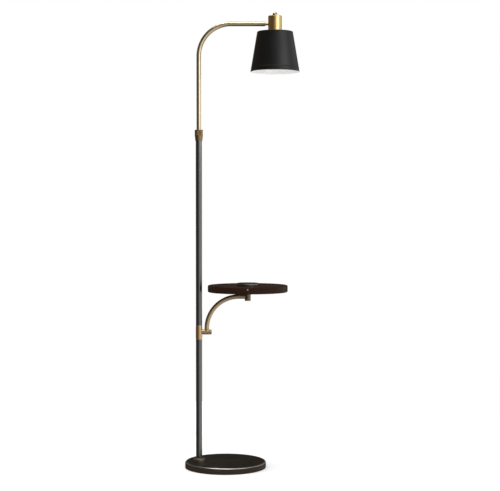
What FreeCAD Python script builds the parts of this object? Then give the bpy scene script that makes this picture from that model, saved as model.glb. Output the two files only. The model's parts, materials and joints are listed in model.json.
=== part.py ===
import FreeCAD, Part

import math
import os

import Sketcher

Vector = FreeCAD.Vector

# Driving dimensions in millimetres, angles in degrees.
# The origin is the middle of the base's underside, and the pole stands left of it.
sizes = {
    # Base
    "base_diameter": 285,
    "base_height": 22.5,
    "base_edge_radius": 6,
    "cover_wall": 1.5,
    "cover_lift": 1,
    "pad_thickness": 2.5,
    "pad_gap": 1.5,
    "weight_gap": 0.4,
    "pole_inset": 49.3,
    "nut_pocket_diameter": 34,
    "nut_pocket_depth": 12,
    "channel_width": 11,
    "channel_depth": 10.5,
    "gland_height": 8,
    "gland_bore": 6.2,
    "gland_neck": 8.4,
    "gland_flange": 12,
    "gland_flange_thickness": 1.8,
    "gland_length": 9,
    "stud_diameter": 10,
    "stud_bore": 7,
    "stud_length": 34,
    "stud_end": 1.5,
    "washer_diameter": 26,
    "washer_thickness": 2,
    "nut_across_flats": 17,
    "nut_height": 5,
    # Pole
    "pole_diameter": 22,
    "pole_wall": 1.2,
    "foot_diameter": 40,
    "foot_height": 10,
    "foot_edge_radius": 3,
    "plug_length": 20,
    "lower_pole_length": 429.5,
    "upper_pole_length": 678,
    "tee_length": 50,
    "tee_swell": 0.5,
    "tee_taper_length": 9,
    "tee_bore": 13,
    "spigot_length": 25,
    "stub_diameter": 17.6,
    "stub_drop": 24,
    "stub_length": 36.3,
    "stub_edge": 0.8,
    "boss_rise": 9.6,
    "seat_length": 26,
    "seat_taper_length": 5,
    "seat_top_wall": 1.4,
    "seat_slot_width": 1.2,
    "seat_slot_length": 16,
    "wire_diameter": 6,
    "pole_wire_length": 700,
    # Clearances
    "fixed_gap": 0.1,
    "running_gap": 0.05,
    "free_gap": 0.3,
    "overrun": 2,
    # Lock collar
    "collar_diameter": 28.8,
    "collar_height": 22,
    "collar_cone_height": 16,
    "collar_lip": 3,
    "collar_edge": 1,
    "collar_foot_wall": 0.8,
    "collar_grip_depth": 0.5,
    "collar_grip_width": 1.4,
    "collar_grips": 24,
    # Upper arm
    "arm_diameter": 16,
    "arm_wall": 1.2,
    "arm_bend_radius": 112.7,
    "arm_straight": 257,
    "arm_in_pole": 199,
    "arm_reach": 233,
    "bush_length": 24,
    "bush_lip": 3,
    "bush_bore": 11.5,
    "end_plug_length": 22,
    "pivot_diameter": 8,
    "pivot_neck_diameter": 10,
    "pivot_bore": 6.2,
    "pivot_in_plug": 14,
    "pivot_neck_length": 10,
    "arm_wire_diameter": 5,
    # Lamp head
    "cup_diameter": 48,
    "cup_height": 55,
    "cup_wall": 1.5,
    "cup_edge_radius": 1.5,
    "cup_axis_height": 27,
    "boss_diameter": 19,
    "boss_depth": 5,
    "pivot_washer_diameter": 15,
    "pivot_washer_thickness": 1,
    "pivot_nut_across_flats": 13,
    "pivot_nut_height": 4,
    "shade_top_diameter": 125,
    "shade_bottom_diameter": 172,
    "shade_height": 140,
    "shade_wall": 1,
    "bead_height": 14,
    "bead_size": 1.2,
    "holder_diameter": 38.5,
    "holder_length": 36,
    "holder_flange_diameter": 44,
    "holder_flange_thickness": 3,
    "holder_dome_diameter": 30,
    "holder_dome_height": 9,
    "socket_bore": 28.4,
    "socket_depth": 30,
    "shell_wall": 0.6,
    "ring_diameter": 58,
    "ring_height": 9,
    "bulb_cap_diameter": 26.2,
    "bulb_cap_length": 26,
    "bulb_diameter": 60,
    "bulb_length": 76,
    "bulb_neck_diameter": 25,
    "bulb_wall": 1,
    "switch_diameter": 17,
    "switch_height": 19,
    "switch_bore": 6.1,
    "knob_diameter": 18,
    "knob_height": 13.4,
    "knob_flat": 1,
    "knob_stem_diameter": 6,
    "knob_stem_length": 9,
    # Tray arm
    "tray_arm_diameter": 16,
    "tray_arm_wall": 1.2,
    "tray_pivot_reach": 27.3,
    "tray_arm_rise": 2.5,
    "tray_bend_radius": 112.7,
    "tray_reach": 171.5,
    "tray_spigot_diameter": 10,
    "tray_spigot_depth": 15,
    "tray_spigot_plug": 2.2,
    "lock_head_diameter": 17,
    "lock_head_length": 8,
    "lock_head_edge": 0.8,
    "lock_thread_diameter": 6,
    "lock_grip_depth": 0.5,
    "lock_grip_width": 1.2,
    "lock_grips": 18,
    "hub_diameter": 21,
    "hub_below_tube": 15,
    "hub_above_tube": 13,
    "hub_edge": 0.8,
    "hub_stud_diameter": 10,
    "hub_stud_bore": 6,
    "hub_stud_end": 1.5,
    "hub_nut_across_flats": 16,
    "hub_nut_height": 5,
    # Tray
    "flange_diameter": 70,
    "flange_thickness": 3,
    "flange_screw_circle": 54,
    "flange_screw_diameter": 4,
    "flange_screw_head": 7.5,
    "flange_screw_head_height": 2.2,
    "flange_screw_length": 9,
    "flange_screws": 4,
    "screw_start_angle": 45,
    "tray_pad_diameter": 70,
    "tray_pad_height": 4,
    "tray_diameter": 281,
    "tray_thickness": 24,
    "tray_edge_radius": 4,
    "tray_lip_width": 7,
    "tray_recess": 2,
    "tray_skin": 4,
    "tray_side_wall": 6,
    "tray_cover_thickness": 4,
    "tray_cover_gap": 0.3,
    "post_inset": 22.5,
    "post_diameter": 10,
    "post_screw_diameter": 3,
    "post_screw_length": 12,
    "post_screw_head": 6,
    "post_screw_head_height": 1.8,
    "post_screws": 4,
    "charger_diameter": 76,
    "charger_height": 10,
    "charger_roof": 2,
    "charger_skirt_wall": 2,
    "charger_edge_radius": 1.5,
    "charger_hole_diameter": 58,
    "charger_skirt_height": 3.5,
    "charger_seat_depth": 0.6,
    "coil_diameter": 50,
    "coil_bore": 20,
    "coil_height": 2.2,
    "shield_height": 1,
    "board_length": 46,
    "board_width": 28,
    "board_thickness": 1.6,
    "board_reach": 72,
    "board_rise": 5,
    "board_post_diameter": 6,
    "board_post_inset": 4,
    "light_diameter": 5,
    "light_length": 12,
    "light_proud": 0.4,
    "light_drop": 8,
    "light_angle": 268.5,
}

# Two places closer than this are the same place.
tolerance = 1e-4

doc = FreeCAD.newDocument("floor_lamp")
sheet = doc.addObject("Spreadsheet::Sheet", "sizes")
for row, (name, value) in enumerate(sizes.items(), start=1):
    sheet.set("A%d" % row, name)
    sheet.set("B%d" % row, str(value))
    sheet.setAlias("B%d" % row, name)
doc.recompute()


def measure(expression):
    """Value of an expression in the sheet's sizes."""
    return float(sheet.evalExpression(expression))


def half(expression):
    return "(%s) / 2" % expression


def total(*terms):
    return "(" + " + ".join(terms) + ")"


def less(first, *terms):
    return "(" + " - ".join((first,) + terms) + ")"


def times(first, second):
    return "(%s) * (%s)" % (first, second)


def size(name):
    return "sizes." + name


def around(diameter, gap):
    """Diameter that leaves a gap all round the outside of another."""
    return total(diameter, size(gap), size(gap))


def within(diameter, gap):
    """Diameter that leaves a gap all round inside another."""
    return less(diameter, size(gap), size(gap))


# Places that several pieces share. Heights are from the floor.
# Reaches run to the right of the pole's axis.
base_centre = less(half(size("base_diameter")), size("pole_inset"))
base_top = size("base_height")
tee_bottom = total(base_top, size("lower_pole_length"))
tee_top = total(tee_bottom, size("tee_length"))
stub_height = less(tee_top, size("stub_drop"))
pole_top = total(tee_top, size("upper_pole_length"))
pole_bore = less(size("pole_diameter"), size("pole_wall"), size("pole_wall"))
seat_top = total(pole_top, size("seat_taper_length"))
collar_top = total(seat_top, size("free_gap"), size("collar_lip"))
collar_bottom = less(collar_top, size("collar_height"), size("collar_cone_height"))
arm_bottom = less(collar_top, size("arm_in_pole"))
arm_bend_start = total(collar_top, size("arm_straight"))
arm_axis_height = total(arm_bend_start, size("arm_bend_radius"))
arm_bore = less(size("arm_diameter"), size("arm_wall"), size("arm_wall"))
cup_left = total(size("arm_reach"), size("pivot_neck_length"))
head_reach = total(cup_left, half(size("cup_diameter")))
cup_bottom = less(arm_axis_height, size("cup_axis_height"))
cup_top = total(cup_bottom, size("cup_height"))
shade_bottom = less(cup_bottom, size("shade_height"))
disc_under = less(cup_bottom, size("shade_wall"))
boss_face = total(cup_left, size("boss_depth"))
boss_top = total(stub_height, size("boss_rise"))
tray_arm_bottom = total(boss_top, size("free_gap"))
tray_bend_start = total(tray_arm_bottom, size("tray_arm_rise"))
tray_arm_height = total(tray_bend_start, size("tray_bend_radius"))
tray_arm_bore = less(size("tray_arm_diameter"), size("tray_arm_wall"), size("tray_arm_wall"))
hub_bottom = less(tray_arm_height, size("hub_below_tube"))
hub_top = total(tray_arm_height, size("hub_above_tube"))
flange_top = total(hub_top, size("flange_thickness"))
tray_floor = flange_top
tray_top_height = total(tray_floor, size("tray_thickness"))
recess_floor = less(tray_top_height, size("tray_recess"))
tray_hollow_top = less(recess_floor, size("tray_skin"))
tray_hollow_bottom = total(tray_floor, size("tray_cover_thickness"))
tray_hollow_radius = less(half(size("tray_diameter")), size("tray_side_wall"))
charger_seat = less(recess_floor, size("charger_seat_depth"))
charger_top = total(recess_floor, size("charger_height"))
charger_ceiling = less(charger_top, size("charger_roof"))


full_turn = 360


def new_body(label, reach="0"):
    """Body whose own Z axis stands at a reach to the right of the pole's axis."""
    body = doc.addObject("PartDesign::Body", label)
    body.Label = label
    body.setExpression("Placement.Base.x", less(reach, base_centre))
    return body


def origin_plane(body, role):
    return next(plane for plane in body.Origin.OriginFeatures if plane.Role == role)


def new_sketch(body, name, role, offset="0"):
    """Sketch on one of the body's origin planes, moved along its normal by an offset."""
    sketch = body.newObject("Sketcher::SketchObject", body.Label + "_" + name)
    sketch.AttachmentSupport = (origin_plane(body, role), [""])
    sketch.MapMode = "FlatFace"
    sketch.setExpression("AttachmentOffset.Base.z", offset)
    return sketch


def drive(sketch, kind, point, value):
    """Hold a point of the sketch at a distance from its origin."""
    geometry, end = point
    place = sketch.addConstraint(Sketcher.Constraint(kind, -1, 1, geometry, end, measure(value)))
    sketch.setExpression("Constraints[%d]" % place, value)


def draw_outline(sketch, corners):
    """Closed outline of straight sides through corners given as pairs of expressions."""
    points = [Vector(measure(across), measure(up), 0) for across, up in corners]
    first = sketch.GeometryCount
    count = len(points)
    for index in range(count):
        sketch.addGeometry(Part.LineSegment(points[index], points[(index + 1) % count]))
    for index in range(count):
        following = first + (index + 1) % count
        sketch.addConstraint(Sketcher.Constraint("Coincident", first + index, 2, following, 1))
    for index, (across, up) in enumerate(corners):
        drive(sketch, "DistanceX", (first + index, 1), across)
        drive(sketch, "DistanceY", (first + index, 1), up)


def draw_circle(sketch, diameter, across="0", up="0"):
    centre = Vector(measure(across), measure(up), 0)
    radius = measure(diameter) / 2
    circle = sketch.addGeometry(Part.Circle(centre, Vector(0, 0, 1), radius))
    place = sketch.addConstraint(Sketcher.Constraint("Diameter", circle, 2 * radius))
    sketch.setExpression("Constraints[%d]" % place, diameter)
    drive(sketch, "DistanceX", (circle, 3), across)
    drive(sketch, "DistanceY", (circle, 3), up)


def turn(body, name, corners, cut=False):
    """Turn an outline of (radius, height) corners about the body's own Z axis."""
    sketch = new_sketch(body, name, "XZ_Plane")
    draw_outline(sketch, corners)
    kind = "PartDesign::Groove" if cut else "PartDesign::Revolution"
    feature = body.newObject(kind, sketch.Name + "_turn")
    feature.Profile = sketch
    feature.ReferenceAxis = (sketch, ["V_Axis"])
    feature.Angle = full_turn
    doc.recompute()
    return feature


def turned(label, corners, reach="0"):
    """Piece turned about a vertical axis."""
    body = new_body(label, reach)
    turn(body, "outline", corners)
    return body


def ring_corners(inner, outer, bottom, top):
    """Corners of a plain ring between two diameters."""
    return [(half(inner), bottom), (half(outer), bottom), (half(outer), top), (half(inner), top)]


def disc_corners(diameter, bottom, top):
    """Corners of a plain disc."""
    return [("0", bottom), (half(diameter), bottom), (half(diameter), top), ("0", top)]


def extrude(sketch, length, cut=False, backwards=False):
    """Pad or pocket a sketch along its plane's normal."""
    body = sketch.getParentGeoFeatureGroup()
    before = body.Shape.Volume if cut else 0
    feature = body.newObject("PartDesign::Pocket" if cut else "PartDesign::Pad", sketch.Name + "_run")
    feature.Profile = sketch
    feature.setExpression("Length", length)
    feature.Reversed = backwards
    doc.recompute()
    if cut and not body.Shape.Volume < before:
        raise RuntimeError(sketch.Name + " cuts nothing")
    return feature


def edges_at(body, test):
    """Names of the body's edges that pass a test."""
    found = []
    for index, edge in enumerate(body.Tip.Shape.Edges, start=1):
        if test(edge):
            found.append("Edge%d" % index)
    if not found:
        raise RuntimeError(body.Label + " has no such edge")
    return found


def circle_edge(diameter, height):
    """Test for a level circular edge of a diameter at a height."""
    radius = measure(diameter) / 2
    level = measure(height)

    def test(edge):
        curve = edge.Curve
        if not isinstance(curve, Part.Circle) or abs(curve.Axis.z) < 1 - tolerance:
            return False
        return abs(curve.Radius - radius) < tolerance and abs(curve.Center.z - level) < tolerance

    return test


def soften(body, kind, amount, *tests):
    """Fillet or chamfer the edges that pass the tests."""
    names = []
    for test in tests:
        names += edges_at(body, test)
    base = body.Tip
    feature = body.newObject("PartDesign::" + kind, body.Label + "_" + kind.lower())
    feature.Base = (base, names)
    feature.setExpression("Radius" if kind == "Fillet" else "Size", amount)
    doc.recompute()
    return feature


def polar(body, feature, count, axis_name="Z_Axis"):
    """Repeat a feature evenly round one of the body's own axes."""
    pattern = body.newObject("PartDesign::PolarPattern", body.Label + "_pattern")
    pattern.Originals = [feature]
    axis = next(line for line in body.Origin.OriginFeatures if line.Role == axis_name)
    pattern.Axis = (axis, [""])
    pattern.Angle = full_turn
    pattern.setExpression("Occurrences", count)
    body.Tip = pattern
    doc.recompute()
    return pattern


def hexagon_corners(across_flats):
    """Corners of a hexagon round the sketch's origin."""
    sides = 6
    corner_share = 1 / math.cos(math.pi / sides)
    corners = []
    for index in range(sides):
        angle = 2 * math.pi * index / sides
        across = times(half(across_flats), "%.12f" % (corner_share * math.cos(angle)))
        up = times(half(across_flats), "%.12f" % (corner_share * math.sin(angle)))
        corners.append((across, up))
    return corners


# Stand

weight_diameter = less(size("base_diameter"), times(total(size("cover_wall"), size("weight_gap")), "2"))
pocket_roof = total(size("pad_thickness"), size("nut_pocket_depth"))
stud_hole = around(size("stud_diameter"), "fixed_gap")
washer_bottom = less(pocket_roof, size("washer_thickness"))
nut_bottom = less(washer_bottom, size("nut_height"))
stud_bottom = less(nut_bottom, size("stud_end"))
pole_axis = less("0", base_centre)


def drill_down(body, name, diameter, across, bottom, depth):
    """Round hole cut upward from a height, at a place across the body."""
    sketch = new_sketch(body, name, "XY_Plane", bottom)
    draw_circle(sketch, diameter, across)
    extrude(sketch, depth, cut=True, backwards=True)


def make_base_cover():
    inner = less(size("base_diameter"), size("cover_wall"), size("cover_wall"))
    ceiling = less(base_top, size("cover_wall"))
    body = turned("base_cover", [
        ("0", ceiling),
        (half(inner), ceiling),
        (half(inner), size("cover_lift")),
        (half(size("base_diameter")), size("cover_lift")),
        (half(size("base_diameter")), base_top),
        ("0", base_top),
    ], base_centre)
    soften(body, "Fillet", size("base_edge_radius"), circle_edge(size("base_diameter"), base_top))
    soften(body, "Fillet", less(size("base_edge_radius"), size("cover_wall")), circle_edge(inner, ceiling))
    drill_down(body, "stud_hole", stud_hole, pole_axis, less(ceiling, size("overrun")),
               total(size("cover_wall"), size("overrun"), size("overrun")))
    outside = total(half(size("base_diameter")), size("overrun"))
    sketch = new_sketch(body, "gland_hole", "XZ_Plane", less("0", outside))
    draw_circle(sketch, around(size("gland_neck"), "fixed_gap"), "0", size("gland_height"))
    extrude(sketch, total(size("overrun"), size("cover_wall"), size("overrun")), cut=True, backwards=True)
    return body


def make_base_weight():
    top = less(base_top, size("cover_wall"))
    body = turned("base_weight", disc_corners(weight_diameter, size("pad_thickness"), top), base_centre)
    soften(body, "Fillet", size("base_edge_radius"), circle_edge(weight_diameter, top))
    drill_down(body, "stud_hole", stud_hole, pole_axis, size("pad_thickness"), top)
    drill_down(body, "nut_pocket", size("nut_pocket_diameter"), pole_axis, size("pad_thickness"),
               size("nut_pocket_depth"))
    edge = half(size("channel_width"))
    near = less("0", edge)
    rear = half(weight_diameter)
    channel = new_sketch(body, "channel", "XY_Plane", size("pad_thickness"))
    draw_outline(channel, [(pole_axis, near), (edge, near), (edge, total(rear, size("overrun"))),
                           (near, total(rear, size("overrun"))), (near, edge), (pole_axis, edge)])
    extrude(channel, size("channel_depth"), cut=True, backwards=True)
    return body


def make_base_pad():
    diameter = less(size("base_diameter"), times(total(size("cover_wall"), size("pad_gap")), "2"))
    return turned("base_pad", disc_corners(diameter, "0", size("pad_thickness")), base_centre)


def make_base_stud():
    top = total(stud_bottom, size("stud_length"))
    return turned("base_stud", ring_corners(size("stud_bore"), size("stud_diameter"), stud_bottom, top))


def make_base_washer():
    return turned("base_washer", ring_corners(stud_hole, size("washer_diameter"), washer_bottom, pocket_roof))


def make_base_nut():
    body = new_body("base_nut")
    sketch = new_sketch(body, "flats", "XY_Plane", nut_bottom)
    draw_outline(sketch, hexagon_corners(size("nut_across_flats")))
    draw_circle(sketch, stud_hole)
    extrude(sketch, size("nut_height"))
    return body


def make_cable_gland():
    """Bushed cord inlet, turned about its own axis, which points straight back."""
    body = new_body("cable_gland", base_centre)
    body.setExpression("Placement.Base.z", size("gland_height"))
    wall = half(size("base_diameter"))
    inside = total(less(wall, size("gland_length")), size("gland_flange_thickness"))
    outside = total(wall, size("gland_flange_thickness"))
    sketch = new_sketch(body, "outline", "XY_Plane")
    draw_outline(sketch, [
        (half(size("gland_bore")), inside),
        (half(size("gland_neck")), inside),
        (half(size("gland_neck")), total(wall, size("fixed_gap"))),
        (half(size("gland_flange")), total(wall, size("fixed_gap"))),
        (half(size("gland_flange")), outside),
        (half(size("gland_bore")), outside),
    ])
    feature = body.newObject("PartDesign::Revolution", "cable_gland_turn")
    feature.Profile = sketch
    feature.ReferenceAxis = (sketch, ["V_Axis"])
    feature.Angle = full_turn
    doc.recompute()
    return body


def make_pole_foot():
    inner = around(size("pole_diameter"), "fixed_gap")
    top = total(base_top, size("foot_height"))
    body = turned("pole_foot", ring_corners(inner, size("foot_diameter"), base_top, top))
    soften(body, "Fillet", size("foot_edge_radius"), circle_edge(size("foot_diameter"), top))
    return body


def make_pole_plug():
    outer = within(pole_bore, "fixed_gap")
    top = total(base_top, size("plug_length"))
    return turned("pole_plug", ring_corners(stud_hole, outer, base_top, top))


def make_pole_lower():
    return turned("pole_lower", ring_corners(pole_bore, size("pole_diameter"), base_top, tee_bottom))


def make_pole_upper():
    return turned("pole_upper", ring_corners(pole_bore, size("pole_diameter"), tee_top, pole_top))


def make_tee_connector():
    spigot = half(within(pole_bore, "fixed_gap"))
    flush = half(size("pole_diameter"))
    swollen = total(flush, size("tee_swell"))
    low_end = less(tee_bottom, size("spigot_length"))
    high_end = total(tee_top, size("spigot_length"))
    body = turned("tee_connector", [
        ("0", low_end),
        (spigot, low_end),
        (spigot, tee_bottom),
        (flush, tee_bottom),
        (swollen, total(tee_bottom, size("tee_taper_length"))),
        (swollen, less(tee_top, size("tee_taper_length"))),
        (flush, tee_top),
        (spigot, tee_top),
        (spigot, high_end),
        ("0", high_end),
    ])
    stub = new_sketch(body, "stub", "YZ_Plane")
    draw_circle(stub, size("stub_diameter"), "0", stub_height)
    extrude(stub, size("stub_length"))

    def stub_end(edge):
        box = edge.BoundBox
        return box.XMin > measure(size("stub_length")) - tolerance

    soften(body, "Chamfer", size("stub_edge"), stub_end)
    boss = new_sketch(body, "boss", "XY_Plane", stub_height)
    draw_circle(boss, size("stub_diameter"), size("tray_pivot_reach"))
    extrude(boss, size("boss_rise"))
    turn(body, "bore", [
        ("0", less(low_end, size("overrun"))),
        (half(size("tee_bore")), less(low_end, size("overrun"))),
        (half(size("tee_bore")), total(high_end, size("overrun"))),
        ("0", total(high_end, size("overrun"))),
    ], cut=True)
    pivot = new_sketch(body, "pivot_bore", "XY_Plane", boss_top)
    draw_circle(pivot, around(size("tray_spigot_diameter"), "running_gap"),
                size("tray_pivot_reach"))
    extrude(pivot, total(size("tray_spigot_depth"), size("free_gap")), cut=True)
    lock = new_sketch(body, "lock_bore", "YZ_Plane", size("stub_length"))
    draw_circle(lock, around(size("lock_thread_diameter"), "running_gap"),
                "0", stub_height)
    extrude(lock, less(size("stub_length"), size("tray_pivot_reach")), cut=True)
    return body


def make_collar_seat():
    """Split sleeve in the pole's mouth, which the collar closes on the thin tube."""
    inner = half(around(size("arm_diameter"), "running_gap"))
    body = turned("collar_seat", [
        (inner, less(pole_top, size("seat_length"))),
        (less(half(pole_bore), size("fixed_gap")), less(pole_top, size("seat_length"))),
        (less(half(pole_bore), size("fixed_gap")), pole_top),
        (half(size("pole_diameter")), pole_top),
        (total(inner, size("seat_top_wall")), seat_top),
        (inner, seat_top),
    ])
    reach = total(half(size("pole_diameter")), size("overrun"))
    slot = half(size("seat_slot_width"))
    for name, along, side in (("slot_across", reach, slot), ("slot_deep", slot, reach)):
        sketch = new_sketch(body, name, "XY_Plane", seat_top)
        draw_outline(sketch, [(less("0", along), less("0", side)), (along, less("0", side)),
                              (along, side), (less("0", along), side)])
        extrude(sketch, size("seat_slot_length"), cut=True)
    return body


def make_pole_wire():
    top = total(stud_bottom, size("pole_wire_length"))
    return turned("pole_wire", disc_corners(size("wire_diameter"), stud_bottom, top))


def make_lock_collar():
    inner = total(half(size("pole_diameter")), size("fixed_gap"))
    shoulder = total(collar_bottom, size("collar_cone_height"))
    ceiling = less(collar_top, size("collar_lip"))
    throat = total(half(size("arm_diameter")), size("free_gap"))
    body = turned("lock_collar", [
        (inner, collar_bottom),
        (total(inner, size("collar_foot_wall")), collar_bottom),
        (half(size("collar_diameter")), shoulder),
        (half(size("collar_diameter")), collar_top),
        (throat, collar_top),
        (throat, ceiling),
        (inner, ceiling),
    ])
    soften(body, "Chamfer", size("collar_edge"), circle_edge(size("collar_diameter"), collar_top))
    outer = half(size("collar_diameter"))
    groove = new_sketch(body, "grip", "XY_Plane", total(collar_top, size("overrun")))
    side = half(size("collar_grip_width"))
    draw_outline(groove, [
        (less(outer, size("collar_grip_depth")), "0"),
        (total(outer, size("collar_grip_depth")), less("0", side)),
        (total(outer, size("collar_grip_depth")), side),
    ])
    cut = extrude(groove, total(size("overrun"), size("collar_height")), cut=True)
    polar(body, cut, size("collar_grips"))
    return body


def make_glide_bush():
    outer = less(half(pole_bore), size("running_gap"))
    inner = total(half(size("arm_diameter")), size("running_gap"))
    bottom = less(arm_bottom, size("bush_lip"))
    return turned("glide_bush", [
        (half(size("bush_bore")), bottom),
        (outer, bottom),
        (outer, total(bottom, size("bush_length"))),
        (inner, total(bottom, size("bush_length"))),
        (inner, arm_bottom),
        (half(size("bush_bore")), arm_bottom),
    ])


# Upper arm

def draw_bend_path(body, bottom, bend_start, radius, end):
    """Path straight up, round a quarter bend to the right, then level to its end."""
    path = new_sketch(body, "path", "XZ_Plane")
    low = measure(bottom)
    start = measure(bend_start)
    bend = measure(radius)
    far = measure(end)
    path.addGeometry(Part.LineSegment(Vector(0, low, 0), Vector(0, start, 0)))
    quarter = Part.Circle(Vector(bend, start, 0), Vector(0, 0, 1), bend)
    path.addGeometry(Part.ArcOfCircle(quarter, math.pi / 2, math.pi))
    path.addGeometry(Part.LineSegment(Vector(bend, start + bend, 0), Vector(far, start + bend, 0)))
    path.addConstraint(Sketcher.Constraint("PointOnObject", 0, 1, -2))
    path.addConstraint(Sketcher.Constraint("Vertical", 0))
    path.addConstraint(Sketcher.Constraint("Horizontal", 2))
    path.addConstraint(Sketcher.Constraint("Tangent", 0, 2, 1, 2))
    path.addConstraint(Sketcher.Constraint("Tangent", 1, 1, 2, 1))
    curve = path.addConstraint(Sketcher.Constraint("Radius", 1, bend))
    path.setExpression("Constraints[%d]" % curve, radius)
    drive(path, "DistanceY", (0, 1), bottom)
    drive(path, "DistanceY", (0, 2), bend_start)
    drive(path, "DistanceX", (2, 2), end)
    return path


def bent(label, reach, diameters, bottom, bend_start, radius, end):
    """Tube or wire swept along a quarter-bend path."""
    body = new_body(label, reach)
    path = draw_bend_path(body, bottom, bend_start, radius, end)
    profile = new_sketch(body, "section", "XY_Plane", bottom)
    for diameter in diameters:
        draw_circle(profile, diameter)
    doc.recompute()
    pipe = body.newObject("PartDesign::AdditivePipe", label + "_sweep")
    pipe.Profile = profile
    pipe.Spine = (path, ["Edge1", "Edge2", "Edge3"])
    doc.recompute()
    return body


def turned_across(label, corners, height, reach="0"):
    """Piece turned about a level axis that runs to the right, with (reach, radius) corners."""
    body = new_body(label, reach)
    body.setExpression("Placement.Base.z", height)
    sketch = new_sketch(body, "outline", "XZ_Plane")
    draw_outline(sketch, corners)
    feature = body.newObject("PartDesign::Revolution", label + "_turn")
    feature.Profile = sketch
    feature.ReferenceAxis = (sketch, ["H_Axis"])
    feature.Angle = full_turn
    doc.recompute()
    return body


def bar_corners(inner, outer, near, far):
    """Corners of a plain ring along a level axis."""
    return [(near, half(inner)), (far, half(inner)), (far, half(outer)), (near, half(outer))]


pivot_hole = around(size("pivot_diameter"), "fixed_gap")
pivot_nut_near = total(boss_face, size("pivot_washer_thickness"))
pivot_end = total(pivot_nut_near, size("pivot_nut_height"), size("stud_end"))


def make_arm_tube():
    return bent("arm_tube", "0", (size("arm_diameter"), arm_bore), arm_bottom, arm_bend_start,
                size("arm_bend_radius"), size("arm_reach"))


def make_arm_wire():
    return bent("arm_wire", "0", (size("arm_wire_diameter"),), arm_bottom, arm_bend_start,
                size("arm_bend_radius"), total(pivot_end, size("stud_end")))


def make_arm_end_plug():
    outer = within(arm_bore, "fixed_gap")
    near = less(size("arm_reach"), size("end_plug_length"))
    corners = bar_corners(pivot_hole, outer, near, size("arm_reach"))
    return turned_across("arm_end_plug", corners, arm_axis_height)


def make_head_pivot():
    bore = half(size("pivot_bore"))
    shaft = half(size("pivot_diameter"))
    neck = half(size("pivot_neck_diameter"))
    near = less(size("arm_reach"), size("pivot_in_plug"))
    shoulder = less(cup_left, size("free_gap"))
    return turned_across("head_pivot", [
        (near, bore),
        (pivot_end, bore),
        (pivot_end, shaft),
        (shoulder, shaft),
        (shoulder, neck),
        (size("arm_reach"), neck),
        (size("arm_reach"), shaft),
        (near, shaft),
    ], arm_axis_height)


def make_pivot_washer():
    corners = bar_corners(pivot_hole, size("pivot_washer_diameter"), boss_face, pivot_nut_near)
    return turned_across("pivot_washer", corners, arm_axis_height)


def make_pivot_nut():
    body = new_body("pivot_nut")
    body.setExpression("Placement.Base.z", arm_axis_height)
    sketch = new_sketch(body, "flats", "YZ_Plane", pivot_nut_near)
    draw_outline(sketch, hexagon_corners(size("pivot_nut_across_flats")))
    draw_circle(sketch, pivot_hole)
    extrude(sketch, size("pivot_nut_height"))
    return body


# Lamp head

cup_ceiling = less(cup_top, size("cup_wall"))
holder_bottom = less(cup_bottom, size("holder_length"))
socket_top = total(holder_bottom, size("socket_depth"))
bulb_cap_bottom = less(socket_top, size("fixed_gap"), size("bulb_cap_length"))
ring_bore = around(size("holder_diameter"), "fixed_gap")


def make_head_cup():
    radius = half(size("cup_diameter"))
    inner = less(radius, size("cup_wall"))
    stem = total(half(size("knob_stem_diameter")), size("free_gap"))
    body = turned("head_cup", [
        (inner, cup_bottom),
        (radius, cup_bottom),
        (radius, cup_top),
        (stem, cup_top),
        (stem, cup_ceiling),
        (inner, cup_ceiling),
    ], head_reach)
    soften(body, "Fillet", size("cup_edge_radius"), circle_edge(size("cup_diameter"), cup_top))
    boss = new_sketch(body, "boss", "YZ_Plane", less("0", radius))
    draw_circle(boss, size("boss_diameter"), "0", arm_axis_height)
    extrude(boss, size("boss_depth"))
    turn(body, "trim", [
        (radius, less(cup_bottom, size("overrun"))),
        (total(radius, size("boss_depth")), less(cup_bottom, size("overrun"))),
        (total(radius, size("boss_depth")), less(cup_top, size("cup_edge_radius"))),
        (radius, less(cup_top, size("cup_edge_radius"))),
    ], cut=True)
    pivot = new_sketch(body, "pivot_hole", "YZ_Plane", less("0", radius, size("overrun")))
    draw_circle(pivot, around(size("pivot_diameter"), "running_gap"),
                "0", arm_axis_height)
    extrude(pivot, total(size("overrun"), size("boss_depth"), size("overrun")), cut=True, backwards=True)
    return body


def make_switch_body():
    bottom = less(cup_ceiling, size("switch_height"))
    bore_bottom = less(cup_ceiling, size("knob_stem_length"))
    return turned("switch_body", [
        ("0", bottom),
        (half(size("switch_diameter")), bottom),
        (half(size("switch_diameter")), cup_ceiling),
        (half(size("switch_bore")), cup_ceiling),
        (half(size("switch_bore")), bore_bottom),
        ("0", bore_bottom),
    ], head_reach)


def make_switch_knob():
    bottom = total(cup_top, size("free_gap"))
    top = total(bottom, size("knob_height"))
    stem_end = less(bottom, size("knob_stem_length"))
    body = turned("switch_knob", [
        ("0", stem_end),
        (half(size("knob_stem_diameter")), stem_end),
        (half(size("knob_stem_diameter")), bottom),
        (half(size("knob_diameter")), bottom),
        (half(size("knob_diameter")), top),
        ("0", top),
    ], head_reach)
    dome = less(half(size("knob_diameter")), size("knob_flat"))
    soften(body, "Fillet", dome, circle_edge(size("knob_diameter"), top))
    return body


def shade_radius(height):
    """Outer radius of the shade's cone at a height."""
    spread = half(less(size("shade_bottom_diameter"), size("shade_top_diameter")))
    share = "(%s) / (%s)" % (less(cup_bottom, height), size("shade_height"))
    return total(half(size("shade_top_diameter")), times(spread, share))


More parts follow.
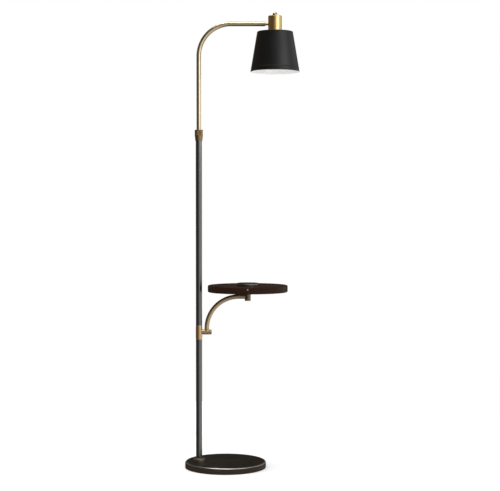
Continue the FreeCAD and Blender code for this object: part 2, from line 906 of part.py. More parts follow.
def make_shade():
    top = half(size("shade_top_diameter"))
    bottom = half(size("shade_bottom_diameter"))
    hole = half(ring_bore)
    bead = total(shade_bottom, size("bead_height"))
    bead_low = less(bead, size("bead_size"))
    bead_high = total(bead, size("bead_size"))
    return turned("shade", [
        (hole, disc_under),
        (less(top, size("shade_wall")), disc_under),
        (less(bottom, size("shade_wall")), shade_bottom),
        (bottom, shade_bottom),
        (shade_radius(bead_low), bead_low),
        (total(shade_radius(bead), half(size("bead_size"))), bead),
        (shade_radius(bead_high), bead_high),
        (top, cup_bottom),
        (hole, cup_bottom),
    ], head_reach)


def make_lampholder():
    flange_level = total(cup_bottom, size("holder_flange_thickness"))
    dome_level = total(flange_level, size("holder_dome_height"))
    body = turned("lampholder", [
        ("0", socket_top),
        (half(size("socket_bore")), socket_top),
        (half(size("socket_bore")), holder_bottom),
        (half(size("holder_diameter")), holder_bottom),
        (half(size("holder_diameter")), cup_bottom),
        (half(size("holder_flange_diameter")), cup_bottom),
        (half(size("holder_flange_diameter")), flange_level),
        (half(size("holder_dome_diameter")), flange_level),
        (half(size("holder_dome_diameter")), dome_level),
        ("0", dome_level),
    ], head_reach)
    return body


def make_holder_shell():
    outer = within(size("socket_bore"), "fixed_gap")
    inner = less(outer, size("shell_wall"), size("shell_wall"))
    top = less(socket_top, size("fixed_gap"))
    bottom = total(holder_bottom, size("overrun"))
    return turned("holder_shell", ring_corners(inner, outer, bottom, top), head_reach)


def make_shade_ring():
    return turned("shade_ring", [
        (half(ring_bore), less(disc_under, size("ring_height"))),
        (half(total(size("holder_diameter"), size("ring_height"))), less(disc_under, size("ring_height"))),
        (half(size("ring_diameter")), less(disc_under, size("cup_wall"))),
        (half(size("ring_diameter")), disc_under),
        (half(ring_bore), disc_under),
    ], head_reach)


def make_bulb_cap():
    shoulder = less(total(bulb_cap_bottom, size("bulb_cap_length")), size("overrun"))
    contact = half(half(size("bulb_cap_diameter")))
    return turned("bulb_cap", [
        ("0", bulb_cap_bottom),
        (half(size("bulb_cap_diameter")), bulb_cap_bottom),
        (half(size("bulb_cap_diameter")), less(shoulder, size("overrun"))),
        (contact, shoulder),
        (contact, total(bulb_cap_bottom, size("bulb_cap_length"))),
        ("0", total(bulb_cap_bottom, size("bulb_cap_length"))),
    ], head_reach)


def add_part(kind, name, **expressions):
    """Part primitive whose sizes follow the sheet."""
    shape = doc.addObject(kind, name)
    for key, text in expressions.items():
        shape.setExpression(key, text)
    return shape


def place_part(shape, reach, height):
    shape.setExpression("Placement.Base.x", less(reach, base_centre))
    shape.setExpression("Placement.Base.z", height)


def make_bulb_glass():
    """Hollow bulb: a ball that narrows to a neck at the cap."""
    ball_centre = total(less(bulb_cap_bottom, size("bulb_length")), half(size("bulb_diameter")))
    neck_share = "0.6"
    width_share = "0.8"
    hulls = []
    for name, skin in (("outer", "0"), ("inner", size("bulb_wall"))):
        radius = less(half(size("bulb_diameter")), skin)
        ball = add_part("Part::Sphere", "bulb_%s_ball" % name, Radius=radius)
        place_part(ball, head_reach, ball_centre)
        low = total(ball_centre, times(radius, neck_share))
        neck = add_part("Part::Cone", "bulb_%s_neck" % name, Radius1=times(radius, width_share),
                        Radius2=less(half(size("bulb_neck_diameter")), skin),
                        Height=less(bulb_cap_bottom, low))
        place_part(neck, head_reach, low)
        hull = doc.addObject("Part::Fuse", "bulb_%s" % name)
        hull.Base = ball
        hull.Tool = neck
        hulls.append(hull)
    glass = doc.addObject("Part::Cut", "bulb_glass")
    glass.Base, glass.Tool = hulls
    glass.Label = "bulb_glass"
    doc.recompute()
    return glass


# Tray arm

hub_stud_hole = around(size("hub_stud_diameter"), "fixed_gap")
tube_end = less(size("tray_reach"), half(size("hub_stud_diameter")), size("free_gap"))
pad_top = total(tray_hollow_bottom, size("tray_pad_height"))
hub_nut_top = total(pad_top, size("hub_nut_height"))


def make_tray_arm_tube():
    return bent("tray_arm_tube", size("tray_pivot_reach"), (size("tray_arm_diameter"), tray_arm_bore),
                tray_arm_bottom, tray_bend_start, size("tray_bend_radius"),
                less(tube_end, size("tray_pivot_reach")))


def make_tray_arm_spigot():
    plug = less(half(tray_arm_bore), size("fixed_gap"))
    return turned("tray_arm_spigot", [
        ("0", less(boss_top, size("tray_spigot_depth"))),
        (half(size("tray_spigot_diameter")), less(boss_top, size("tray_spigot_depth"))),
        (half(size("tray_spigot_diameter")), tray_arm_bottom),
        (plug, tray_arm_bottom),
        (plug, total(tray_arm_bottom, size("tray_spigot_plug"))),
        ("0", total(tray_arm_bottom, size("tray_spigot_plug"))),
    ], size("tray_pivot_reach"))


def make_tray_lock_screw():
    tip = total(size("tray_pivot_reach"), half(size("tray_spigot_diameter")), size("free_gap"))
    near = total(size("stub_length"), size("free_gap"))
    far = total(near, size("lock_head_length"))
    radius = half(size("lock_head_diameter"))
    body = turned_across("tray_lock_screw", [
        (tip, "0"),
        (far, "0"),
        (far, less(radius, size("lock_head_edge"))),
        (less(far, size("lock_head_edge")), radius),
        (near, radius),
        (near, half(size("lock_thread_diameter"))),
        (tip, half(size("lock_thread_diameter"))),
    ], stub_height)
    groove = new_sketch(body, "grip", "YZ_Plane", total(far, size("overrun")))
    side = half(size("lock_grip_width"))
    draw_outline(groove, [
        ("0", less(radius, size("lock_grip_depth"))),
        (side, total(radius, size("lock_grip_depth"))),
        (less("0", side), total(radius, size("lock_grip_depth"))),
    ])
    cut = extrude(groove, total(size("overrun"), size("lock_head_length"), size("free_gap")), cut=True)
    polar(body, cut, size("lock_grips"), "X_Axis")
    return body


def make_tray_hub():
    body = turned("tray_hub", disc_corners(size("hub_diameter"), hub_bottom, hub_top), size("tray_reach"))
    soften(body, "Chamfer", size("hub_edge"), circle_edge(size("hub_diameter"), hub_bottom))
    stud = new_sketch(body, "stud_bore", "XY_Plane", hub_top)
    draw_circle(stud, hub_stud_hole)
    extrude(stud, size("hub_above_tube"), cut=True)
    tube = new_sketch(body, "tube_bore", "YZ_Plane", less("0", half(size("hub_diameter")), size("overrun")))
    draw_circle(tube, around(size("tray_arm_diameter"), "fixed_gap"), "0", tray_arm_height)
    depth = less(half(size("hub_diameter")), half(size("hub_stud_diameter")))
    extrude(tube, total(size("overrun"), depth), cut=True, backwards=True)
    return body


def make_hub_stud():
    top = total(hub_nut_top, size("hub_stud_end"))
    return turned("hub_stud", ring_corners(size("hub_stud_bore"), size("hub_stud_diameter"),
                                           tray_arm_height, top), size("tray_reach"))


def make_hub_nut():
    body = new_body("hub_nut", size("tray_reach"))
    sketch = new_sketch(body, "flats", "XY_Plane", pad_top)
    draw_outline(sketch, hexagon_corners(size("hub_nut_across_flats")))
    draw_circle(sketch, hub_stud_hole)
    extrude(sketch, size("hub_nut_height"))
    return body


# Tray

def circle_places(count, circle_diameter, start_angle):
    """Places evenly round a circle, as pairs of expressions."""
    places = []
    for index in range(count):
        angle = math.radians(start_angle + full_turn * index / count)
        places.append((times(half(circle_diameter), "%.12f" % math.cos(angle)),
                       times(half(circle_diameter), "%.12f" % math.sin(angle))))
    return places


flange_places = circle_places(sizes["flange_screws"], size("flange_screw_circle"), sizes["screw_start_angle"])
post_circle = less(size("tray_diameter"), size("post_inset"), size("post_inset"))
post_places = circle_places(sizes["post_screws"], post_circle, sizes["screw_start_angle"])
flange_screw_hole = around(size("flange_screw_diameter"), "fixed_gap")
post_screw_hole = around(size("post_screw_diameter"), "fixed_gap")
head_sink = total(size("post_screw_head_height"), size("free_gap"))


def holes(body, name, diameter, places, start, depth, backwards=True):
    """Round holes at several places, cut from a height."""
    sketch = new_sketch(body, name, "XY_Plane", start)
    for across, up in places:
        draw_circle(sketch, diameter, across, up)
    return extrude(sketch, depth, cut=True, backwards=backwards)


def posts(body, name, diameter, places, start, height):
    """Round posts at several places, standing on a height."""
    sketch = new_sketch(body, name, "XY_Plane", start)
    for across, up in places:
        draw_circle(sketch, diameter, across, up)
    return extrude(sketch, height)


def make_tray_flange():
    body = turned("tray_flange", ring_corners(hub_stud_hole, size("flange_diameter"), hub_top, flange_top),
                  size("tray_reach"))
    holes(body, "screw_holes", flange_screw_hole, flange_places, hub_top, size("flange_thickness"))
    return body


def make_screws(label, places, head, head_height, shank, under_head, length):
    """Identical pan-head screws that point up, as separate solids."""
    screws = []
    for index, (across, up) in enumerate(places):
        head_part = add_part("Part::Cylinder", "%s_head_%d" % (label, index), Radius=half(head),
                             Height=head_height)
        shank_part = add_part("Part::Cylinder", "%s_shank_%d" % (label, index), Radius=half(shank),
                              Height=total(length, half(head_height)))
        for piece, height in ((head_part, less(under_head, head_height)),
                              (shank_part, less(under_head, half(head_height)))):
            place_part(piece, total(size("tray_reach"), across), height)
            piece.setExpression("Placement.Base.y", up)
        screw = doc.addObject("Part::Fuse", "%s_%d" % (label, index))
        screw.Base = head_part
        screw.Tool = shank_part
        screws.append(screw)
    group = doc.addObject("Part::Compound", label)
    group.Links = screws
    group.Label = label
    doc.recompute()
    return group


def make_flange_screws():
    return make_screws("flange_screws", flange_places, size("flange_screw_head"),
                       size("flange_screw_head_height"), size("flange_screw_diameter"), hub_top,
                       size("flange_screw_length"))


def make_cover_screws():
    return make_screws("cover_screws", post_places, size("post_screw_head"), size("post_screw_head_height"),
                       size("post_screw_diameter"), total(tray_floor, head_sink), size("post_screw_length"))


def make_tray_top():
    radius = half(size("tray_diameter"))
    lip = less(radius, size("tray_lip_width"))
    hole = half(size("charger_hole_diameter"))
    seat = half(around(size("charger_diameter"), "fixed_gap"))
    body = turned("tray_top", [
        (hole, tray_hollow_top),
        (tray_hollow_radius, tray_hollow_top),
        (tray_hollow_radius, tray_floor),
        (radius, tray_floor),
        (radius, tray_top_height),
        (lip, tray_top_height),
        (lip, recess_floor),
        (seat, recess_floor),
        (seat, charger_seat),
        (hole, charger_seat),
    ], size("tray_reach"))
    soften(body, "Fillet", size("tray_edge_radius"), circle_edge(size("tray_diameter"), tray_top_height),
           circle_edge(size("tray_diameter"), tray_floor))
    posts(body, "posts", size("post_diameter"), post_places, tray_hollow_bottom,
          less(recess_floor, tray_hollow_bottom, half(size("tray_skin"))))
    screw_tip = total(tray_floor, head_sink, size("post_screw_length"), size("free_gap"))
    holes(body, "post_holes", post_screw_hole, post_places, tray_hollow_bottom,
          less(screw_tip, tray_hollow_bottom))
    light = new_sketch(body, "light_hole", "XZ_Plane", total(radius, size("overrun")))
    turn_sketch(light, size("light_angle"))
    draw_circle(light, around(size("light_diameter"), "fixed_gap"), "0",
                less(tray_top_height, size("light_drop")))
    extrude(light, total(size("overrun"), size("light_length")), cut=True)
    return body


def turn_sketch(sketch, angle):
    """Turn an upright sketch so that its normal points out at an angle round the body."""
    upright = FreeCAD.Rotation(Vector(0, 1, 0), 1)
    sketch.AttachmentOffset = FreeCAD.Placement(sketch.AttachmentOffset.Base, upright)
    sketch.setExpression("AttachmentOffset.Rotation.Angle", total(angle, "90"))


def make_tray_bottom():
    radius = less(tray_hollow_radius, size("tray_cover_gap"))
    pad = half(size("tray_pad_diameter"))
    stud = half(hub_stud_hole)
    body = turned("tray_bottom", [
        (stud, tray_floor),
        (radius, tray_floor),
        (radius, tray_hollow_bottom),
        (pad, tray_hollow_bottom),
        (pad, pad_top),
        (stud, pad_top),
    ], size("tray_reach"))
    posts(body, "board_posts", size("board_post_diameter"), board_places(), tray_floor,
          total(size("tray_cover_thickness"), size("board_rise")))
    holes(body, "flange_holes", flange_screw_hole, flange_places, tray_floor,
          total(size("tray_cover_thickness"), size("tray_pad_height")))
    holes(body, "cover_holes", post_screw_hole, post_places, tray_floor, size("tray_cover_thickness"))
    holes(body, "head_sinks", around(size("post_screw_head"), "free_gap"), post_places,
          tray_floor, head_sink)
    return body


def board_places():
    """Corners where the board stands on its posts."""
    along = less(half(size("board_length")), size("board_post_inset"))
    aside = less(half(size("board_width")), size("board_post_inset"))
    places = []
    for side in (along, less("0", along)):
        for end in (aside, less("0", aside)):
            places.append((total(size("board_reach"), end), side))
    return places


def make_charger_board():
    body = new_body("charger_board", size("tray_reach"))
    sketch = new_sketch(body, "edge", "XY_Plane", total(tray_hollow_bottom, size("board_rise")))
    near = less(size("board_reach"), half(size("board_width")))
    far = total(size("board_reach"), half(size("board_width")))
    side = half(size("board_length"))
    draw_outline(sketch, [(near, less("0", side)), (far, less("0", side)), (far, side), (near, side)])
    extrude(sketch, size("board_thickness"))
    return body


def make_charging_pad():
    """Low round cap over the coil, with a skirt that drops into the tray's hole."""
    outer = half(size("charger_diameter"))
    skirt = less(half(size("charger_hole_diameter")), size("fixed_gap"))
    inner = less(skirt, size("charger_skirt_wall"))
    body = turned("charging_pad", [
        ("0", charger_ceiling),
        (inner, charger_ceiling),
        (inner, less(recess_floor, size("charger_skirt_height"))),
        (skirt, less(recess_floor, size("charger_skirt_height"))),
        (skirt, charger_seat),
        (outer, charger_seat),
        (outer, charger_top),
        ("0", charger_top),
    ], size("tray_reach"))
    soften(body, "Fillet", size("charger_edge_radius"), circle_edge(size("charger_diameter"), charger_top))
    return body


def make_charging_coil():
    coil_bottom = less(charger_ceiling, size("coil_height"))
    return turned("charging_coil", ring_corners(size("coil_bore"), size("coil_diameter"), coil_bottom,
                                                charger_ceiling), size("tray_reach"))


def make_coil_shield():
    top = less(charger_ceiling, size("coil_height"))
    return turned("coil_shield", disc_corners(size("coil_diameter"), less(top, size("shield_height")), top),
                  size("tray_reach"))


def make_indicator_light():
    """Light pipe that points out through the tray's rim."""
    body = new_body("indicator_light", size("tray_reach"))
    outside = total(half(size("tray_diameter")), size("light_proud"))
    sketch = new_sketch(body, "section", "XZ_Plane", outside)
    turn_sketch(sketch, size("light_angle"))
    draw_circle(sketch, size("light_diameter"), "0", less(tray_top_height, size("light_drop")))
    extrude(sketch, size("light_length"), backwards=True)
    return body


makers = [
    make_base_cover,
    make_base_weight,
    make_base_pad,
    make_base_stud,
    make_base_washer,
    make_base_nut,
    make_cable_gland,
    make_pole_foot,
    make_pole_plug,
    make_pole_lower,
    make_tee_connector,
    make_pole_upper,
    make_collar_seat,
    make_pole_wire,
    make_lock_collar,
    make_glide_bush,
    make_arm_tube,
    make_arm_wire,
    make_arm_end_plug,
    make_head_pivot,
    make_pivot_washer,
    make_pivot_nut,
    make_head_cup,
    make_switch_body,
    make_switch_knob,
    make_shade,
    make_shade_ring,
    make_lampholder,
    make_holder_shell,
    make_bulb_cap,
    make_bulb_glass,
    make_tray_arm_tube,
    make_tray_arm_spigot,
    make_tray_lock_screw,
    make_tray_hub,
    make_hub_stud,
    make_hub_nut,
    make_tray_flange,
    make_flange_screws,
    make_tray_top,
    make_tray_bottom,
    make_cover_screws,
    make_charger_board,
    make_charging_pad,
    make_charging_coil,
    make_coil_shield,
    make_indicator_light,
]
pieces = [maker() for maker in makers]
doc.recompute()

for item in doc.Objects:
    if "Invalid" in item.State or "Error" in item.State:
        raise RuntimeError(item.Label + " failed")
for piece in pieces:
    if piece.Shape.isNull() or not piece.Shape.isValid():
        raise RuntimeError(piece.Label + " has no valid solid")

os.makedirs("parts", exist_ok=True)
for piece in pieces:
    piece.Shape.exportStep("parts/" + piece.Label + ".step")
    box = piece.Shape.BoundBox
    print("%-18s solids %d  volume %9.0f  z %7.1f to %7.1f" % (
        piece.Label, len(piece.Shape.Solids), piece.Shape.Volume, box.ZMin, box.ZMax))
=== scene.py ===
import json
import math
from collections import namedtuple

import bmesh
import bpy
from mathutils import Matrix, Vector

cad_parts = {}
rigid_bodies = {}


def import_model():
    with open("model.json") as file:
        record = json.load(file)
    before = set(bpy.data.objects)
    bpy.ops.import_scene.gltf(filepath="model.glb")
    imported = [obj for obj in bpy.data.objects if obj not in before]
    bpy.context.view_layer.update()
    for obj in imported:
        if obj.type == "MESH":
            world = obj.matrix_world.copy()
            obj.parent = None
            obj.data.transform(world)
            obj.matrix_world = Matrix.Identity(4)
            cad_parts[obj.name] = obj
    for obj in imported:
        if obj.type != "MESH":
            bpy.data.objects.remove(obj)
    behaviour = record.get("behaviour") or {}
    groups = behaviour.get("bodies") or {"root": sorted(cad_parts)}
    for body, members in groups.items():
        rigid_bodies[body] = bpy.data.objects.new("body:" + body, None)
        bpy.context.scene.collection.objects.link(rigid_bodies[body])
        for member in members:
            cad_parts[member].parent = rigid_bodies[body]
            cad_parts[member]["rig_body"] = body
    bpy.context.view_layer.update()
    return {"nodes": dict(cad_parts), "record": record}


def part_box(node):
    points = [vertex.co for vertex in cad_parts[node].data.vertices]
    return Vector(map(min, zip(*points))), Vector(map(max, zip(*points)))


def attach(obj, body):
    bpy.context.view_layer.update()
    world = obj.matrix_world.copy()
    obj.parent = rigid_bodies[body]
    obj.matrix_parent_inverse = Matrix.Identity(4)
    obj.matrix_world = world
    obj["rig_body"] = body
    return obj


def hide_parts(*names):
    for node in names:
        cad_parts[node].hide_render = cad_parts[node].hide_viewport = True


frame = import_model()

FULL_TURN = 2 * math.pi
HALF_TURN = FULL_TURN / 2
QUARTER_TURN = FULL_TURN / 4
MM = 0.001


# Places that the frame gives

Upright = namedtuple("Upright", "x y radius bottom top")
Lying = namedtuple("Lying", "place radius front back")


def upright(node):
    """Axis, radius, bottom and top of a node that is round about a vertical axis."""
    low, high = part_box(node)
    x = (low[0] + high[0]) / 2
    y = (low[1] + high[1]) / 2
    return Upright(x, y, (high[1] - low[1]) / 2, low[2], high[2])


def lying(node):
    """Place, radius, front and back of a node that is round about an axis along Y."""
    low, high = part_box(node)
    place = ((low[0] + high[0]) / 2, 0, (low[2] + high[2]) / 2)
    return Lying(place, (high[2] - low[2]) / 2, low[1], high[1])


BODY_OF = {node: obj["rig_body"] for node, obj in frame["nodes"].items()}
SLOT_OF = {part["node"]: part["material_slot"] for part in frame["record"]["subparts"]}


# Outlines

def corner_arc(before, corner, after, radius, steps):
    """Points of the round that replaces a corner between two straight edges."""
    corner = Vector(corner)
    start = (Vector(before) - corner).normalized()
    end = (Vector(after) - corner).normalized()
    opening = start.angle(end)
    reach = radius / math.tan(opening / 2)
    bisector = (start + end).normalized()
    centre = corner + bisector * radius / math.sin(opening / 2)
    first = corner + start * reach - centre
    last = corner + end * reach - centre
    side = 1 if first.cross(last) > 0 else -1
    turn = side * (math.pi - opening)
    points = []
    for step in range(steps + 1):
        points.append(tuple(centre + Matrix.Rotation(turn * step / steps, 2) @ first))
    return points


def outline(corners, steps=6, closed=False):
    """Points through (across, up) corners. A third value is the radius that rounds the corner."""
    points = []
    count = len(corners)
    for index, (across, up, *rounding) in enumerate(corners):
        at_end = not closed and index in (0, count - 1)
        if at_end or not rounding:
            points.append((across, up))
            continue
        before = corners[index - 1][:2]
        after = corners[(index + 1) % count][:2]
        points += corner_arc(before, (across, up), after, rounding[0], steps)
    return points


def quarter_ellipse(across, up, wide, high, steps=12):
    """Points from one side of an ellipse to its top. A negative size turns it the other way."""
    points = []
    for step in range(steps + 1):
        angle = QUARTER_TURN * step / steps
        points.append((across + wide * math.cos(angle), up + high * math.sin(angle)))
    return points


def even_rows(radius, low, high, rows):
    """Points up a straight side, close enough for flutes to follow."""
    return [(radius, low + (high - low) * row / rows) for row in range(rows + 1)]


def middle_height(points, row):
    """Height halfway between a point of an outline and the next."""
    return (points[row][1] + points[row + 1][1]) / 2


# Meshes

# A smaller radius than this is a point on the axis.
ON_AXIS = MM / 1000

AXES = {
    "X": Matrix.Rotation(QUARTER_TURN, 4, "Y"),
    "Y": Matrix.Rotation(-QUARTER_TURN, 4, "X"),
    "Z": Matrix.Identity(4),
}


def skin(form, rings, wide, lengths, closed=False, paint=None):
    """Faces between rings of vertices, with a UV map in metres that runs round and along."""
    uv = form.loops.layers.uv.new("surface")
    around = len(rings[0])
    pairs = len(rings) if closed else len(rings) - 1
    for row in range(pairs):
        lower = rings[row]
        upper = rings[(row + 1) % len(rings)]
        for step in range(around):
            after = (step + 1) % around
            corners = [(lower[step], step, row), (lower[after], step + 1, row),
                       (upper[after], step + 1, row + 1), (upper[step], step, row + 1)]
            kept = []
            for corner in corners:
                if all(corner[0] is not other[0] for other in kept):
                    kept.append(corner)
            if len(kept) < 3:
                continue
            face = form.faces.new([corner[0] for corner in kept])
            face.smooth = True
            face.material_index = paint(row) if paint else 0
            for loop, corner in zip(face.loops, kept):
                loop[uv].uv = (wide * corner[1] / around, lengths[corner[2]])


def finished(name, form):
    """Object from a mesh form, with outward normals and crisp edges where it turns sharply."""
    sharp_angle = math.radians(35)
    bmesh.ops.recalc_face_normals(form, faces=form.faces)
    mesh = bpy.data.meshes.new(name)
    form.to_mesh(mesh)
    form.free()
    mesh.set_sharp_from_angle(angle=sharp_angle)
    piece = bpy.data.objects.new(name, mesh)
    bpy.context.scene.collection.objects.link(piece)
    even = piece.modifiers.new("even_normals", "WEIGHTED_NORMAL")
    even.keep_sharp = True
    return piece


def revolved(name, points, place, axis="Z", segments=128, closed=False, ripple=None, paint=None):
    """Surface turned about an axis from (radius, height) points. An upright one has its seam at the back.

    A ripple varies the radius round the axis, and a paint gives each row its material's number.
    """
    form = bmesh.new()
    rings = []
    lengths = [0]
    for index, (radius, height) in enumerate(points):
        if index:
            lengths.append(lengths[-1] + math.dist(points[index], points[index - 1]))
        if radius < ON_AXIS:
            rings.append([form.verts.new((0, 0, height))] * segments)
            continue
        ring = []
        for step in range(segments):
            angle = FULL_TURN * step / segments + QUARTER_TURN
            distance = ripple(radius, height, angle) if ripple else radius
            ring.append(form.verts.new((distance * math.cos(angle), distance * math.sin(angle), height)))
        rings.append(ring)
    lengths.append(lengths[-1] + math.dist(points[-1], points[0]))
    skin(form, rings, FULL_TURN * max(radius for radius, height in points), lengths, closed, paint)
    bmesh.ops.transform(form, matrix=Matrix.Translation(place) @ AXES[axis], verts=form.verts)
    return finished(name, form)


def swept(name, stations):
    """Round surface along stations, each a centre and a direction in the XZ plane with a radius."""
    segments = 64
    form = bmesh.new()
    rings = []
    lengths = [0]
    aside = Vector((0, 1, 0))
    for index, (centre, direction, radius) in enumerate(stations):
        if index:
            centre_before, direction_before, radius_before = stations[index - 1]
            moved = (centre - centre_before).length
            lengths.append(lengths[-1] + max(moved, abs(radius - radius_before)))
        outward = aside.cross(direction)
        ring = []
        for step in range(segments):
            angle = FULL_TURN * step / segments
            spoke = math.cos(angle) * aside + math.sin(angle) * outward
            ring.append(form.verts.new(centre + radius * spoke))
        rings.append(ring)
    widest = max(radius for centre, direction, radius in stations)
    skin(form, rings, FULL_TURN * widest, lengths)
    return finished(name, form)


def fluted(count, depth, bottom, top):
    """Radius that dips evenly round the axis between two heights."""
    def ripple(radius, height, angle):
        if not bottom < height < top:
            return radius
        return radius - depth * (0.5 - 0.5 * math.cos(count * angle))
    return ripple


# Materials

# A Mix node's colour sockets share their names with its number sockets, so they go by number.
MIX_SHARE = 0
MIX_FIRST = 6
MIX_SECOND = 7
MIX_RESULT = 2

# Noise seldom leaves this range.
NOISE_RANGE = (0.3, 0.7)


def new_material(name):
    """Material, with its node tree and its shader."""
    material = bpy.data.materials.new(name)
    material.use_nodes = True
    shader = material.node_tree.nodes["Principled BSDF"]
    return material, material.node_tree, shader


def combined(tree, operation, first, second):
    """Two values joined by a Math node."""
    node = tree.nodes.new("ShaderNodeMath")
    node.operation = operation
    tree.links.new(first, node.inputs[0])
    tree.links.new(second, node.inputs[1])
    return node.outputs[0]


def ranged(tree, value, source, target):
    """Value brought from one range to another, and held within it."""
    node = tree.nodes.new("ShaderNodeMapRange")
    node.inputs["From Min"].default_value = source[0]
    node.inputs["From Max"].default_value = source[1]
    node.inputs["To Min"].default_value = target[0]
    node.inputs["To Max"].default_value = target[1]
    tree.links.new(value, node.inputs["Value"])
    return node.outputs["Result"]


def mixed(tree, value, first, second):
    """Colour between two colours."""
    node = tree.nodes.new("ShaderNodeMix")
    node.data_type = "RGBA"
    node.inputs[MIX_FIRST].default_value = (*first, 1)
    node.inputs[MIX_SECOND].default_value = (*second, 1)
    tree.links.new(value, node.inputs[MIX_SHARE])
    return node.outputs[MIX_RESULT]


def noise(tree, source, size, stretch=(1, 1, 1)):
    """Noise whose blotches are about a given size in metres, drawn out where its stretch is small."""
    mapping = tree.nodes.new("ShaderNodeMapping")
    mapping.inputs["Scale"].default_value = stretch
    tree.links.new(source, mapping.inputs["Vector"])
    texture = tree.nodes.new("ShaderNodeTexNoise")
    texture.inputs["Scale"].default_value = 1 / size
    texture.inputs["Detail"].default_value = 3
    tree.links.new(mapping.outputs["Vector"], texture.inputs["Vector"])
    return texture.outputs["Fac"]


def finish(name, tones, roughness, grain, relief, stretch=(1, 1, 1), surface="Object", drift=60 * MM,
           fixed=None):
    """Material with two close tones, uneven gloss and a raised grain, all from noise.

    The tones drift over a length, the grain has its own size, stretch and relief, and the gloss
    follows both. The fixed values go straight on the shader's sockets.
    """
    material, tree, shader = new_material(name)
    for socket, value in (fixed or {}).items():
        shader.inputs[socket].default_value = value
    low, high = roughness
    source = tree.nodes.new("ShaderNodeTexCoord").outputs[surface]
    blotches = noise(tree, source, drift)
    streaks = noise(tree, source, grain, stretch)
    tone = mixed(tree, ranged(tree, blotches, NOISE_RANGE, (0, 1)), *tones)
    tree.links.new(tone, shader.inputs["Base Color"])
    broad = ranged(tree, blotches, NOISE_RANGE, (0, high - low))
    fine = ranged(tree, streaks, NOISE_RANGE, (low, low + (high - low) / 2))
    tree.links.new(combined(tree, "ADD", broad, fine), shader.inputs["Roughness"])
    bump = tree.nodes.new("ShaderNodeBump")
    bump.inputs["Distance"].default_value = relief
    tree.links.new(streaks, bump.inputs["Height"])
    tree.links.new(bump.outputs["Normal"], shader.inputs["Normal"])
    return material


def grey(level):
    """Colour with the same level in each channel."""
    return (level, level, level)


METAL = {"Metallic": 1.0}
DULL_METAL = {"Metallic": 0.8}
LACQUERED_METAL = {"Metallic": 1.0, "Coat Weight": 0.7, "Coat Roughness": 0.12, "Coat IOR": 1.8}
GLOSS_COAT = {"Coat Weight": 1.0, "Coat Roughness": 0.2, "Coat IOR": 2.0}

# How the grain lies on a turned or swept piece, whose UV map runs round and along it
ALONG = (1, 0.02, 1)
ROUND = (0.02, 1, 1)

brass_brushed = finish("brass_brushed", tones=((0.57, 0.45, 0.27), (0.51, 0.4, 0.235)),
                       roughness=(0.26, 0.34), grain=0.5 * MM, relief=0.0003 * MM, stretch=ALONG,
                       surface="UV", fixed=LACQUERED_METAL)
brass_turned = finish("brass_turned", tones=((0.61, 0.415, 0.15), (0.55, 0.37, 0.13)), roughness=(0.26, 0.34),
                      grain=0.4 * MM, relief=0.0004 * MM, stretch=ROUND, surface="UV", fixed=LACQUERED_METAL)
brass_satin = finish("brass_satin", tones=((0.52, 0.405, 0.235), (0.455, 0.35, 0.2)), roughness=(0.42, 0.5),
                     grain=0.5 * MM, relief=0.0004 * MM, stretch=ROUND, surface="UV", fixed=METAL)
brass_cast = finish("brass_cast", tones=((0.6, 0.39, 0.18), (0.53, 0.345, 0.16)), roughness=(0.38, 0.46),
                    grain=0.5 * MM, relief=0.0005 * MM, stretch=(1, 1, 0.05), fixed=LACQUERED_METAL)
# Darker brass: its dark tone is painted shade, for the knurling's self-shadow on the collar and the tray's
# shadow on the hub.
brass_painted_shade = finish("brass_painted_shade", tones=((0.29, 0.2, 0.1), (0.24, 0.165, 0.08)), roughness=(0.48, 0.56),
                       grain=0.4 * MM, relief=0.002 * MM, stretch=ROUND, surface="UV", fixed=METAL)
brass_plain = finish("brass_plain", tones=((0.62, 0.45, 0.2), (0.5, 0.36, 0.17)), roughness=(0.25, 0.4),
                     grain=0.4 * MM, relief=0.004 * MM, stretch=(0.05, 0.05, 1), fixed=METAL)
pole_paint = finish("pole_paint", tones=((0.0055, 0.0054, 0.0056), (0.0042, 0.0042, 0.0044)),
                    roughness=(0.3, 0.38), grain=0.6 * MM, relief=0.001 * MM, fixed=GLOSS_COAT)
foot_bronze = finish("foot_bronze", tones=((0.25, 0.195, 0.135), (0.2, 0.155, 0.105)), roughness=(0.36, 0.44),
                     grain=0.6 * MM, relief=0.001 * MM, fixed=DULL_METAL)
base_paint = finish("base_paint", tones=((0.017, 0.0135, 0.0115), (0.0135, 0.011, 0.0095)),
                    roughness=(0.3, 0.4), grain=0.7 * MM, relief=0.003 * MM,
                    fixed={"Specular IOR Level": 0.14})
# Same lacquer as the base's top in a lighter, browner tone: painted reflected light on the base's side.
base_side_painted_light = finish("base_side_painted_light", tones=((0.04, 0.03, 0.021), (0.032, 0.0245, 0.0175)), roughness=(0.3, 0.4),
                   grain=0.7 * MM, relief=0.003 * MM, fixed={"Specular IOR Level": 0.06})
base_edge = finish("base_edge", tones=((0.58, 0.55, 0.52), (0.5, 0.475, 0.45)), roughness=(0.26, 0.34),
                   grain=0.7 * MM, relief=0.004 * MM, fixed=METAL)
shade_black = finish("shade_black", tones=((0.0042, 0.004, 0.004), (0.0034, 0.0033, 0.0032)),
                     roughness=(0.38, 0.46), grain=0.5 * MM, relief=0.01 * MM,
                     fixed={"Specular IOR Level": 0.36})
shade_white = finish("shade_white", tones=(grey(0.9), grey(0.87)), roughness=(0.4, 0.5), grain=0.6 * MM,
                     relief=0.006 * MM)
tray_paint = finish("tray_paint", tones=((0.031, 0.0136, 0.008), (0.0235, 0.0102, 0.0058)),
                    roughness=(0.28, 0.38), grain=0.8 * MM, relief=0.002 * MM, drift=35 * MM,
                    fixed={"Specular IOR Level": 0.06})
disc_plastic = finish("disc_plastic", tones=((0.018, 0.015, 0.014), (0.014, 0.012, 0.011)),
                      roughness=(0.35, 0.45), grain=0.3 * MM, relief=0.006 * MM)
disc_trim = finish("disc_trim", tones=((0.5, 0.46, 0.42), (0.4, 0.37, 0.34)), roughness=(0.25, 0.35),
                   grain=0.3 * MM, relief=0.001 * MM, fixed=METAL)
